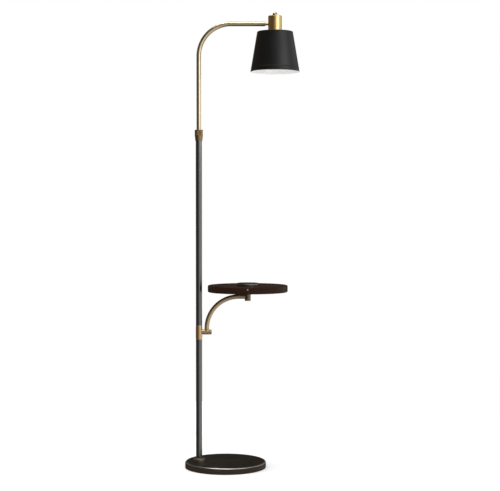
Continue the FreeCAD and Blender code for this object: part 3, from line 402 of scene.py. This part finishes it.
black_plastic = finish("black_plastic", tones=(grey(0.03), grey(0.024)), roughness=(0.4, 0.5), grain=0.3 * MM,
                       relief=0.01 * MM)
black_rubber = finish("black_rubber", tones=(grey(0.03), grey(0.022)), roughness=(0.65, 0.8), grain=0.4 * MM,
                      relief=0.02 * MM)
foam_black = finish("foam_black", tones=(grey(0.035), grey(0.022)), roughness=(0.85, 0.95), grain=0.5 * MM,
                    relief=0.2 * MM, drift=10 * MM)
steel_plated = finish("steel_plated", tones=((0.6, 0.6, 0.58), grey(0.5)), roughness=(0.25, 0.35),
                      grain=0.4 * MM, relief=0.003 * MM, stretch=(0.1, 0.1, 1), fixed=METAL)
steel_black = finish("steel_black", tones=(grey(0.03), grey(0.022)), roughness=(0.4, 0.5), grain=0.6 * MM,
                     relief=0.02 * MM)
iron_cast = finish("iron_cast", tones=(grey(0.12), (0.08, 0.078, 0.075)), roughness=(0.6, 0.75),
                   grain=1.2 * MM, relief=0.2 * MM, fixed=DULL_METAL)
wire_sheath = finish("wire_sheath", tones=(grey(0.05), grey(0.04)), roughness=(0.5, 0.6), grain=0.5 * MM,
                     relief=0.005 * MM)
nylon_white = finish("nylon_white", tones=((0.8, 0.78, 0.72), (0.74, 0.72, 0.66)), roughness=(0.4, 0.5),
                     grain=0.6 * MM, relief=0.005 * MM)
copper_wound = finish("copper_wound", tones=((0.72, 0.4, 0.24), (0.6, 0.32, 0.18)), roughness=(0.3, 0.4),
                      grain=0.6 * MM, relief=0.1 * MM, fixed=METAL)
board_green = finish("board_green", tones=((0.04, 0.22, 0.1), (0.05, 0.27, 0.13)), roughness=(0.35, 0.45),
                     grain=2 * MM, relief=0.02 * MM, drift=6 * MM)
light_pipe = finish("light_pipe", tones=((0.32, 0.31, 0.3), (0.28, 0.27, 0.26)), roughness=(0.3, 0.4),
                    grain=0.5 * MM, relief=0.003 * MM)
bulb_opal = finish("bulb_opal", tones=((0.86, 0.86, 0.84), (0.82, 0.82, 0.8)), roughness=(0.3, 0.4),
                   grain=0.6 * MM, relief=0.002 * MM,
                   fixed={"Emission Color": (1, 0.98, 0.95, 1), "Emission Strength": 2.3})

SLOT_FINISH = {
    "lacquer": pole_paint, "shade_paint": shade_black, "brass": brass_cast, "plain_brass": brass_plain,
    "iron": iron_cast, "foam": foam_black, "rubber": black_rubber, "steel": steel_plated,
    "black_steel": steel_black, "wire_sheath": wire_sheath, "nylon": nylon_white, "tray_gloss": tray_paint,
    "pad_plastic": disc_plastic, "black_plastic": black_plastic, "bulb_glass": bulb_opal,
    "copper": copper_wound, "board": board_green, "light_pipe": light_pipe,
}

for node, cad_object in frame["nodes"].items():
    for slot in cad_object.material_slots:
        slot.material = SLOT_FINISH[SLOT_OF[node]]


# Pieces in the place of nodes

def dress(piece, node, *materials):
    """Put a piece in a node's place: on its body, with its own materials."""
    for material in materials:
        piece.data.materials.append(material)
    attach(piece, BODY_OF[node])
    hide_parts(node)
    return piece


def turned(name, node, points, *materials, **options):
    """Round piece that replaces an upright node, on that node's axis."""
    axis = upright(node)
    return dress(revolved(name, points, (axis.x, axis.y, 0), **options), node, *materials)


# Both curved tubes have this bend, along their middle line. All tubes have this wall.
BEND_RADIUS = 112.7 * MM
TUBE_WALL = 1.2 * MM


def bent_tube(name, node, end_reach):
    """Tube that rises, bends over a quarter circle to the right and runs level to its end."""
    low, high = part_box(node)
    radius = (high[1] - low[1]) / 2
    turn_height = high[2] - radius - BEND_RADIUS
    lip = 0.5 * MM
    inside = radius - TUBE_WALL
    inside_depth = 4 * TUBE_WALL
    up = Vector((0, 0, 1))
    right = Vector((1, 0, 0))
    foot = Vector((low[0] + radius, 0, low[2]))
    stations = [(foot + up * inside_depth, up, inside), (foot + up * lip, up, inside),
                (foot, up, radius - lip), (foot + up * lip, up, radius)]
    rise_steps = 24
    rise = turn_height - foot.z - lip
    for step in range(1, rise_steps):
        height = foot.z + lip + step / rise_steps * rise
        stations.append((Vector((foot.x, foot.y, height)), up, radius))
    bend_steps = 48
    centre = Vector((foot.x + BEND_RADIUS, foot.y, turn_height))
    for step in range(bend_steps + 1):
        angle = QUARTER_TURN * step / bend_steps
        spot = centre + BEND_RADIUS * Vector((-math.cos(angle), 0, math.sin(angle)))
        stations.append((spot, Vector((math.sin(angle), 0, math.cos(angle))), radius))
    run_steps = 12
    bend_end = stations[-1][0]
    end = Vector((end_reach, foot.y, turn_height + BEND_RADIUS))
    run_end = end - right * lip
    for step in range(1, run_steps):
        stations.append((bend_end.lerp(run_end, step / run_steps), right, radius))
    stations += [(run_end, right, radius), (end, right, radius - lip), (run_end, right, inside),
                 (end - right * inside_depth, right, inside)]
    return swept(name, stations)


# Base and pole

def make_base():
    """Lacquered shell with a soft bare edge round its top, open below round the pad."""
    cover = upright("base_cover")
    wall = 1.5 * MM
    edge = 6 * MM
    inner_round = 0.5 * MM
    outer_round = 0.7 * MM
    inside = cover.radius - wall
    points = outline([(inside, cover.bottom + edge), (inside, cover.bottom, inner_round),
                      (cover.radius, cover.bottom, outer_round), (cover.radius, cover.top, edge),
                      (0, cover.top)], steps=10)
    bare_top = cover.top - 0.02 * edge
    bare_bottom = cover.top - 0.55 * edge

    def paint(row):
        """Zero on the top, one on the bare edge, two on the side, whose lighter tone is painted reflected
        light.
        """
        height = middle_height(points, row)
        if height < bare_bottom:
            return 2
        return int(height < bare_top)

    turned("base_shell", "base_cover", points, base_paint, base_edge, base_side_painted_light, segments=256, paint=paint)


def make_base_pad():
    """Foam pad that the base stands on."""
    pad = upright("base_pad")
    edge = 0.8 * MM
    points = outline([(0, pad.bottom), (pad.radius, pad.bottom, edge), (pad.radius, pad.top, edge),
                      (0, pad.top)])
    piece = turned("foam_pad", "base_pad", points, foam_black, segments=192)


def make_foot():
    """Ring round the pole's foot, a hair's breadth clear of the pole."""
    foot = upright("pole_foot")
    pole = upright("pole_lower")
    seam = 0.3 * MM
    seam_depth = 2 * MM
    shoulder_round = 3 * MM
    heel_round = 0.4 * MM
    points = outline([(pole.radius + seam, foot.top - seam_depth), (pole.radius + seam, foot.top, seam),
                      (foot.radius, foot.top, shoulder_round), (foot.radius, foot.bottom, heel_round),
                      (pole.radius, foot.bottom)])
    turned("foot_ring", "pole_foot", points, foot_bronze)


def make_pole(name, node):
    """Straight black tube with eased ends."""
    pole = upright(node)
    edge = 0.4 * MM
    inside = pole.radius - TUBE_WALL
    points = outline([(inside, pole.bottom, edge), (pole.radius, pole.bottom, edge),
                      (pole.radius, pole.top, edge), (inside, pole.top, edge)], closed=True, steps=4)
    turned(name, node, points, pole_paint, closed=True)


# Height clamp and upper arm

def make_collar():
    """Clamp collar: a cone over the pole's mouth, straight knurling, and a plain band at the top."""
    collar = upright("lock_collar")
    pole = upright("pole_upper")
    tube_radius = 8 * MM
    gap = 0.3 * MM
    skirt_wall = 1.1 * MM
    skirt_round = 0.4 * MM
    cone_height = 16 * MM
    plain_band = 2.6 * MM
    groove = 0.4 * MM
    top_round = 1 * MM
    throat_depth = 3 * MM
    bore = pole.radius + gap
    throat = tube_radius + gap
    cone_top = collar.bottom + cone_height
    low = cone_top + plain_band
    high = collar.top - plain_band
    mouth = (bore, collar.bottom)
    skirt = (bore + skirt_wall, collar.bottom)
    points = [(bore, collar.bottom + skirt_wall), mouth]
    points += corner_arc(mouth, skirt, (collar.radius, cone_top), skirt_round, steps=6)
    points += [(collar.radius, low - groove), (collar.radius - groove, low)]
    points += even_rows(collar.radius, low + groove, high - groove, rows=10)
    points += outline([(collar.radius - groove, high), (collar.radius, high + groove),
                       (collar.radius, collar.top, top_round), (throat, collar.top, gap),
                       (throat, collar.top - throat_depth)])
    knurl = fluted(count=54, depth=0.45 * MM, bottom=low, top=high)
    turned("clamp_collar", "lock_collar", points, brass_painted_shade, segments=324, ripple=knurl)


def make_arm():
    """Curved tube from the pole's mouth to the lamp head."""
    low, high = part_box("arm_tube")
    dress(bent_tube("curved_arm", "arm_tube", end_reach=high[0]), "arm_tube", brass_brushed)


# Lamp head

def make_cup():
    """Turned cup, open below."""
    cup = upright("head_cup")
    wall = 1.5 * MM
    depth = 12 * MM
    inner_round = 0.3 * MM
    outer_round = 0.6 * MM
    shoulder_round = 1.5 * MM
    inside = cup.radius - wall
    points = outline([(inside, cup.bottom + depth), (inside, cup.bottom, inner_round),
                      (cup.radius, cup.bottom, outer_round), (cup.radius, cup.top, shoulder_round),
                      (0, cup.top)])
    turned("lamp_cup", "head_cup", points, brass_turned, segments=160)


def make_dome():
    """Dome just above the cup, with a short straight skirt."""
    knob = upright("switch_knob")
    cup = upright("head_cup")
    gap = 0.3 * MM
    skirt = 1.2 * MM
    skirt_round = 0.3 * MM
    bottom = cup.top + gap
    points = outline([(0, bottom), (knob.radius, bottom, skirt_round), (knob.radius, bottom + skirt)])
    points += quarter_ellipse(0, bottom + skirt, knob.radius, knob.top - bottom - skirt)[1:]
    turned("switch_dome", "switch_knob", points, brass_turned)


def make_shade():
    """Cone with a closed top, a raised line above its rolled rim, black outside and white inside."""
    shade = upright("shade")
    top_radius = 62.5 * MM
    wall = 1 * MM
    hole = 14 * MM
    outer_round = 2.2 * MM
    inner_round = 1.5 * MM
    bead = shade.bottom + 14 * MM
    bead_half = 1.2 * MM
    bead_proud = 0.8 * MM
    bead_steps = 8
    roll = 1.1 * MM
    roll_steps = 6
    lean = (shade.radius - top_radius) / (shade.top - shade.bottom)

    def side(height):
        return shade.radius - lean * (height - shade.bottom)

    above_bead = bead + 2 * bead_half
    outside = outline([(hole, shade.top), (top_radius, shade.top, outer_round),
                       (side(above_bead), above_bead)])
    for step in range(bead_steps + 1):
        angle = HALF_TURN * step / bead_steps
        height = bead + bead_half * math.cos(angle)
        outside.append((side(height) + bead_proud * math.sin(angle), height))
    above_roll = shade.bottom + 2 * roll
    roll_centre = shade.radius - roll
    outside.append((side(above_roll), above_roll))
    outside += quarter_ellipse(roll_centre, shade.bottom + roll, roll, -roll, roll_steps)[1:]
    roll_inside = quarter_ellipse(roll_centre, shade.bottom + roll, -roll, -roll, roll_steps)[:-1]
    above_inside = shade.bottom + 3 * roll
    inside = roll_inside[::-1]
    inside += outline([(side(above_inside) - wall, above_inside),
                       (top_radius - wall, shade.top - wall, inner_round), (hole, shade.top - wall)])
    border = len(outside) - 1

    def paint(row):
        """Zero outside, one inside."""
        return int(row >= border)

    turned("lamp_shade", "shade", outside + inside, shade_black, shade_white, segments=256, paint=paint)


def make_clamp_ring():
    """Ring with deep grips, screwed on the socket from inside the shade."""
    ring = upright("shade_ring")
    bore = 19.5 * MM
    plain_band = 1.2 * MM
    bore_round = 0.4 * MM
    outer_round = 0.8 * MM
    ramp = 0.2 * MM
    low = ring.bottom + plain_band
    high = ring.top - plain_band
    points = outline([(bore, ring.bottom, bore_round), (ring.radius, ring.bottom, outer_round),
                      (ring.radius, low), (ring.radius, low + ramp), (ring.radius, high - ramp),
                      (ring.radius, high), (ring.radius, ring.top, outer_round),
                      (bore, ring.top, bore_round)], closed=True)
    grips = fluted(count=30, depth=1.2 * MM, bottom=low, top=high)
    turned("shade_clamp_ring", "shade_ring", points, black_plastic, segments=240, closed=True, ripple=grips)


def make_socket():
    """Lampholder with a threaded skirt that the clamp ring screws on."""
    socket = upright("lampholder")
    mouth = 14.3 * MM
    mouth_depth = 8 * MM
    mouth_round = 0.6 * MM
    skirt = 19.25 * MM
    skirt_round = 0.8 * MM
    skirt_top = socket.bottom + 35 * MM
    shoulder_bottom = socket.bottom + 36 * MM
    shoulder_top = socket.bottom + 39 * MM
    plain_band = 2 * MM
    thread = socket.bottom + 2.4 * MM
    turns = 9
    pitch = 2.4 * MM
    crest_end = 0.35 * pitch
    root_start = 0.55 * pitch
    root_end = 0.8 * pitch
    root = skirt - 0.6 * MM
    points = outline([(mouth, socket.bottom + mouth_depth), (mouth, socket.bottom, mouth_round),
                      (skirt, socket.bottom, skirt_round), (skirt, socket.bottom + plain_band)])
    for turn in range(turns):
        start = thread + turn * pitch
        points += [(skirt, start), (skirt, start + crest_end), (root, start + root_start),
                   (root, start + root_end)]
    points += [(skirt, thread + turns * pitch), (skirt, skirt_top), (socket.radius, shoulder_bottom),
               (socket.radius, shoulder_top), (0, socket.top)]
    turned("lamp_socket", "lampholder", points, black_plastic)


def make_bulb():
    """Opal ball whose sides flow into the neck in one smooth curve."""
    bulb = upright("bulb_glass")
    neck = 12.5 * MM
    leave = math.radians(38)
    pull = 14 * MM
    ball_steps = 28
    neck_steps = 16
    middle = bulb.bottom + bulb.radius
    points = [(0, bulb.bottom)]
    for step in range(1, ball_steps + 1):
        angle = -QUARTER_TURN + (QUARTER_TURN + leave) * step / ball_steps
        points.append((bulb.radius * math.cos(angle), middle + bulb.radius * math.sin(angle)))
    start = Vector(points[-1])
    leaving = start + Vector((-math.sin(leave), math.cos(leave))) * pull
    end = Vector((neck, bulb.top))
    arriving = end - Vector((0, pull))
    for step in range(1, neck_steps + 1):
        share = step / neck_steps
        first = start.lerp(leaving, share)
        second = leaving.lerp(arriving, share)
        third = arriving.lerp(end, share)
        points.append(tuple(first.lerp(second, share).lerp(second.lerp(third, share), share)))
    turned("opal_bulb", "bulb_glass", points, bulb_opal, segments=96)


# Tray arm

def make_tray_arm():
    """Curved tube whose end is let into the hub."""
    hub = upright("tray_hub")
    let_in = 2 * MM
    end_reach = hub.x - hub.radius + let_in
    dress(bent_tube("curved_tray_arm", "tray_arm_tube", end_reach), "tray_arm_tube", brass_satin)


def make_hub():
    """Plain hub with one turned line near its foot."""
    hub = upright("tray_hub")
    line = hub.bottom + 3.5 * MM
    cut = 0.25 * MM
    end_round = 0.8 * MM
    points = outline([(0, hub.bottom), (hub.radius, hub.bottom, end_round), (hub.radius, line - cut),
                      (hub.radius - cut, line), (hub.radius, line + cut), (hub.radius, hub.top, end_round),
                      (0, hub.top)])
    # The hub's darker brass is painted shade from the tray above it.
    turned("arm_hub", "tray_hub", points, brass_painted_shade)


def make_thumb_screw():
    """Thumb screw that lies along X: a shank, and a knurled head with a dished end."""
    low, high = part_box("tray_lock_screw")
    tip = low[0]
    end = high[0]
    radius = (high[2] - low[2]) / 2
    height = (high[2] + low[2]) / 2
    shank = 3 * MM
    head_length = 8 * MM
    plain_band = 1.4 * MM
    ramp = 0.1 * MM
    neck_round = 0.5 * MM
    end_round = 0.8 * MM
    dish_edge = 4 * MM
    dish_radius = 3.4 * MM
    dish_depth = 0.6 * MM
    dish_round = 0.4 * MM
    head_start = end - head_length
    knurl_start = head_start + plain_band
    knurl_end = end - plain_band
    points = [(0, tip), (shank, tip), (shank, head_start)]
    points += outline([(shank, head_start), (radius, head_start, neck_round), (radius, knurl_start)])[1:]
    points += even_rows(radius, knurl_start + ramp, knurl_end - ramp, rows=6)
    points += outline([(radius, knurl_end), (radius, end, end_round), (dish_edge, end, dish_round),
                       (dish_radius, end - dish_depth), (0, end - dish_depth)])
    knurl = fluted(count=36, depth=0.4 * MM, bottom=knurl_start, top=knurl_end)
    dress(revolved("thumb_screw", points, (0, 0, height), "X", segments=216, ripple=knurl), "tray_lock_screw",
          brass_turned)


# Tray

def make_tray():
    """Tray body: a rounded rim round a shallow floor, with a seat for the charging disc."""
    tray = upright("tray_top")
    disc = upright("charging_pad")
    cover = upright("tray_bottom")
    gap = 0.3 * MM
    cover_depth = 4 * MM
    rim_round = 4 * MM
    lip = 7 * MM
    lip_round = 0.8 * MM
    lip_slope = 0.6 * MM
    recess = 2 * MM
    seat_gap = 0.1 * MM
    seat_round = 0.15 * MM
    seat_depth = 0.6 * MM
    seat_inside = 29 * MM
    opening = cover.radius + gap
    rim = tray.radius - lip
    floor = tray.top - recess
    seat = disc.radius + seat_gap
    points = outline([(opening, tray.bottom + cover_depth), (opening, tray.bottom, gap),
                      (tray.radius, tray.bottom, rim_round), (tray.radius, tray.top, rim_round),
                      (rim, tray.top, lip_round), (rim - lip_slope, floor, lip_round),
                      (seat, floor, seat_round), (seat, floor - seat_depth),
                      (seat_inside, floor - seat_depth)], steps=8)
    turned("tray_body", "tray_top", points, tray_paint, segments=256)


def make_charging_disc():
    """Low disc with a soft ring let into its top and a metal band round its side."""
    disc = upright("charging_pad")
    tray = upright("tray_top")
    bottom = tray.top - 2.6 * MM
    ring_outside = 31 * MM
    ring_inside = 27.5 * MM
    ring_shoulder = 0.5 * MM
    ring_top = disc.top - 0.1 * MM
    ring_round = 0.2 * MM
    groove = 0.4 * MM
    groove_bottom = disc.top - groove
    middle_top = disc.top - groove / 2
    edge_round = 1.6 * MM
    band_top = disc.top - 2.6 * MM
    band_bottom = disc.top - 5.4 * MM
    seam = 0.25 * MM
    points = outline([(0, middle_top), (ring_inside - groove, middle_top, ring_round),
                      (ring_inside, groove_bottom), (ring_inside + ring_shoulder, ring_top, ring_round),
                      (ring_outside - ring_shoulder, ring_top, ring_round), (ring_outside, groove_bottom),
                      (ring_outside + ring_shoulder, disc.top, ring_round),
                      (disc.radius, disc.top, edge_round),
                      (disc.radius, band_top + seam), (disc.radius - seam, band_top),
                      (disc.radius, band_top - seam), (disc.radius, band_bottom + seam),
                      (disc.radius - seam, band_bottom), (disc.radius, band_bottom - seam),
                      (disc.radius, bottom)])

    def paint(row):
        """One on the metal band, otherwise zero."""
        return int(band_bottom < middle_height(points, row) < band_top)

    turned("charging_disc", "charging_pad", points, disc_plastic, disc_trim, segments=160, paint=paint)


# Fasteners, cord inlet and indicator light

def add_screw(form, middle, turn, bottom, top, head, shank, head_height):
    """Pan-head screw, head down, with a cross recess that lies at a turn about its axis."""
    crown_rings = 12
    sides = 48
    crown = 0.45 * head_height
    slot_half = 0.11 * head
    slot_reach = 0.3 * head
    slot_depth = 0.5 * head_height
    tip_radius = 0.1 * shank
    profile = []
    for ring in range(1, crown_rings + 1):
        share = ring / crown_rings
        profile.append((head / 2 * share, bottom + crown * share ** 4))
    profile += [(head / 2, bottom + head_height), (shank / 2, bottom + head_height),
                (shank / 2, top - shank / 2), (tip_radius, top)]
    rings = []
    for radius, height in profile:
        ring = []
        for side in range(sides):
            angle = FULL_TURN * side / sides
            near, far = sorted((abs(radius * math.cos(angle - turn)), abs(radius * math.sin(angle - turn))))
            in_slot = near < slot_half and far < slot_reach and height < bottom + slot_depth
            sunk = slot_depth if in_slot else 0
            spot = Vector((radius * math.cos(angle), radius * math.sin(angle), height + sunk))
            ring.append(form.verts.new(middle + spot))
        rings.append(ring)
    recess = form.verts.new(middle + Vector((0, 0, bottom + slot_depth)))
    tip = form.verts.new(middle + Vector((0, 0, top)))
    for side in range(sides):
        after = (side + 1) % sides
        form.faces.new((recess, rings[0][after], rings[0][side]))
        form.faces.new((tip, rings[-1][side], rings[-1][after]))
        for inner, outer in zip(rings, rings[1:]):
            form.faces.new((inner[side], inner[after], outer[after], outer[side]))


def make_screws(name, node, circle, head, shank, head_height):
    """Four screws spaced evenly on a circle round the tray's axis."""
    tray = upright("tray_top")
    low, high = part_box(node)
    count = 4
    form = bmesh.new()
    uv = form.loops.layers.uv.new("surface")
    for index in range(count):
        turn = FULL_TURN * (index + 0.5) / count
        outward = Vector((math.cos(turn), math.sin(turn), 0))
        middle = Vector((tray.x, tray.y, 0)) + circle / 2 * outward
        add_screw(form, middle, turn, low[2], high[2], head, shank, head_height)
    for face in form.faces:
        face.smooth = True
        for loop in face.loops:
            loop[uv].uv = (loop.vert.co.x, loop.vert.co.y)
    dress(finished(name, form), node, steel_plated)


def make_inlet():
    """Cord inlet at the back of the base: a bush with a flange and a soft lip."""
    bush = lying("cable_gland")
    bore = 3.1 * MM
    neck = 4.2 * MM
    fine_round = 0.3 * MM
    plain_round = 0.5 * MM
    lip_round = 1.2 * MM
    seat = bush.back - 1.8 * MM
    flange_face = bush.back - 0.7 * MM
    points = outline([(bore, bush.front, fine_round), (neck, bush.front, plain_round), (neck, seat),
                      (bush.radius, seat, fine_round), (bush.radius, flange_face, plain_round),
                      (neck, bush.back, lip_round), (bore, bush.back, plain_round)], closed=True)
    dress(revolved("cord_inlet", points, bush.place, "Y", segments=96, closed=True), "cable_gland",
          black_rubber)


def make_light():
    """Small round lens in the tray's rim."""
    lens = lying("indicator_light")
    bulge = 0.5 * MM
    rim = lens.front + bulge
    points = [(0, lens.back), (lens.radius, lens.back), (lens.radius, rim)]
    points += quarter_ellipse(0, rim, lens.radius, -bulge, steps=6)[1:]
    dress(revolved("rim_light", points, lens.place, "Y", segments=48), "indicator_light", light_pipe)


make_screws("flange_screw_set", "flange_screws", circle=54 * MM, head=7.5 * MM, shank=4 * MM,
            head_height=2.2 * MM)
make_screws("cover_screw_set", "cover_screws", circle=236 * MM, head=6 * MM, shank=3 * MM,
            head_height=1.8 * MM)
make_inlet()
make_light()
make_base()
make_base_pad()
make_foot()
make_pole("lower_pole", "pole_lower")
make_pole("upper_pole", "pole_upper")
make_collar()
make_arm()
make_cup()
make_dome()
make_shade()
make_clamp_ring()
make_socket()
make_bulb()
make_tray_arm()
make_hub()
make_thumb_screw()
make_tray()
make_charging_disc()


# Studio

WHITE = (1, 1, 1, 1)

# Places on the lamp that the lights face
MIDDLE = (0.05, 0, 0.8)
UPPER_PART = (0.05, 0, 1.4)


def soft_box(name, place, target, wide, high, power, mirrored=True):
    """Rectangular lamp that faces a target. One that isn't mirrored stays out of reflections."""
    lamp = bpy.data.lights.new(name, "AREA")
    lamp.shape = "RECTANGLE"
    lamp.size = wide
    lamp.size_y = high
    lamp.energy = power
    holder = bpy.data.objects.new(name, lamp)
    bpy.context.scene.collection.objects.link(holder)
    holder.visible_glossy = mirrored
    holder.location = place
    holder.rotation_euler = (Vector(target) - Vector(place)).to_track_quat("-Z", "Y").to_euler()


def background_rays(tree):
    """One for the rays that see the white background, otherwise zero."""
    kinds = tree.nodes.new("ShaderNodeLightPath").outputs
    seen_or_mirrored = combined(tree, "MAXIMUM", kinds["Is Camera Ray"], kinds["Is Glossy Ray"])
    return combined(tree, "MAXIMUM", seen_or_mirrored, kinds["Is Transmission Ray"])


def floor_material(reach):
    """Pale floor, lifted to white towards its edge with the shadow kept, and clear from below."""
    lift_range = (0.25, 0.65)
    material, tree, shader = new_material("floor_white")
    shader.inputs["Base Color"].default_value = (*grey(0.8), 1)
    shader.inputs["Roughness"].default_value = 0.9
    shader.inputs["Specular IOR Level"].default_value = 0
    shader.inputs["Emission Color"].default_value = WHITE
    place = tree.nodes.new("ShaderNodeTexCoord")
    distance = tree.nodes.new("ShaderNodeVectorMath")
    distance.operation = "LENGTH"
    tree.links.new(place.outputs["Object"], distance.inputs[0])
    lift = ranged(tree, distance.outputs["Value"], (0, reach), lift_range)
    glow = combined(tree, "MULTIPLY", background_rays(tree), lift)
    tree.links.new(glow, shader.inputs["Emission Strength"])
    clear = tree.nodes.new("ShaderNodeBsdfTransparent")
    side = tree.nodes.new("ShaderNodeNewGeometry")
    either_side = tree.nodes.new("ShaderNodeMixShader")
    tree.links.new(side.outputs["Backfacing"], either_side.inputs[0])
    tree.links.new(shader.outputs[0], either_side.inputs[1])
    tree.links.new(clear.outputs[0], either_side.inputs[2])
    tree.links.new(either_side.outputs[0], tree.nodes["Material Output"].inputs["Surface"])
    return material


def make_floor():
    """Round floor a hair's breadth under the base. Reflections don't see it."""
    reach = 1.6
    gap = 0.1 * MM
    form = bmesh.new()
    bmesh.ops.create_circle(form, cap_ends=True, segments=128, radius=reach)
    mesh = bpy.data.meshes.new("floor")
    form.to_mesh(mesh)
    form.free()
    mesh.materials.append(floor_material(reach))
    floor = bpy.data.objects.new("floor", mesh)
    bpy.context.scene.collection.objects.link(floor)
    floor.location = (0, 0, -gap)
    floor.visible_glossy = False


def dark_screens(tree):
    """What reflections see by their direction: dark screens at the left and above, white at the right."""
    bright_side = (0.93, -0.36, 0)
    # How far a direction is from the dark side (0) to the bright side (1), and the colour there
    levels = ((0, (0.165, 0.132, 0.094)), (0.32, (0.081, 0.065, 0.048)), (0.6, (0.187, 0.17, 0.149)),
              (0.76, grey(0.88)), (0.92, grey(1)))
    # As a direction's rise goes from the first to the second, its colour is dimmed to a quarter.
    rises = (0.25, 0.6)
    dimming = (1, 0.25)
    direction = tree.nodes.new("ShaderNodeTexCoord").outputs["Generated"]
    toward = tree.nodes.new("ShaderNodeVectorMath")
    toward.operation = "DOT_PRODUCT"
    toward.inputs[1].default_value = bright_side
    tree.links.new(direction, toward.inputs[0])
    screens = tree.nodes.new("ShaderNodeValToRGB")
    tree.links.new(ranged(tree, toward.outputs["Value"], (-1, 1), (0, 1)), screens.inputs["Fac"])
    stops = screens.color_ramp.elements
    while len(stops) < len(levels):
        stops.new(position=0.5)
    for stop, (position, level) in zip(stops, levels):
        stop.position = position
        stop.color = (*level, 1)
    parts = tree.nodes.new("ShaderNodeSeparateXYZ")
    tree.links.new(direction, parts.inputs[0])
    dimmed = tree.nodes.new("ShaderNodeVectorMath")
    dimmed.operation = "SCALE"
    tree.links.new(screens.outputs["Color"], dimmed.inputs[0])
    tree.links.new(ranged(tree, parts.outputs["Z"], rises, dimming), dimmed.inputs["Scale"])
    return dimmed.outputs["Vector"]


def make_world():
    """White background, which reflections see past dark screens, and an even fill for all other rays."""
    fill_strength = 0.55
    world = bpy.data.worlds.new("studio")
    bpy.context.scene.world = world
    world.use_nodes = True
    tree = world.node_tree
    tree.nodes.clear()
    background = tree.nodes.new("ShaderNodeMix")
    background.data_type = "RGBA"
    background.inputs[MIX_FIRST].default_value = WHITE
    tree.links.new(dark_screens(tree), background.inputs[MIX_SECOND])
    sight = tree.nodes.new("ShaderNodeLightPath")
    tree.links.new(sight.outputs["Is Glossy Ray"], background.inputs[MIX_SHARE])
    seen = tree.nodes.new("ShaderNodeBackground")
    tree.links.new(background.outputs[MIX_RESULT], seen.inputs["Color"])
    fill = tree.nodes.new("ShaderNodeBackground")
    fill.inputs["Color"].default_value = WHITE
    fill.inputs["Strength"].default_value = fill_strength
    whole = tree.nodes.new("ShaderNodeMixShader")
    tree.links.new(background_rays(tree), whole.inputs[0])
    tree.links.new(fill.outputs[0], whole.inputs[1])
    tree.links.new(seen.outputs[0], whole.inputs[2])
    result = tree.nodes.new("ShaderNodeOutputWorld")
    tree.links.new(whole.outputs[0], result.inputs["Surface"])


def make_camera():
    """Camera at the photograph's viewing angle."""
    tilt_down = math.radians(1.61)
    lens = bpy.data.cameras.new("camera")
    lens.sensor_fit = "HORIZONTAL"
    lens.sensor_width = 36
    lens.lens = 95.525
    camera = bpy.data.objects.new("camera", lens)
    bpy.context.scene.collection.objects.link(camera)
    camera.location = (0.0863, -4.6615, 0.9137)
    camera.rotation_euler = (QUARTER_TURN - tilt_down, 0, 0)
    bpy.context.scene.camera = camera


make_floor()
make_world()
make_camera()
soft_box("key_light", place=(1.75, -1.45, 1.95), target=UPPER_PART, wide=1.6, high=1.4, power=18)
soft_box("top_light", place=(-0.4, -0.3, 5.4), target=MIDDLE, wide=5, high=1.5, power=150)
soft_box("left_light", place=(-2.6, -2.2, 1.6), target=MIDDLE, wide=1.6, high=1.6, power=8, mirrored=False)

bpy.context.scene.view_settings.view_transform = "Standard"
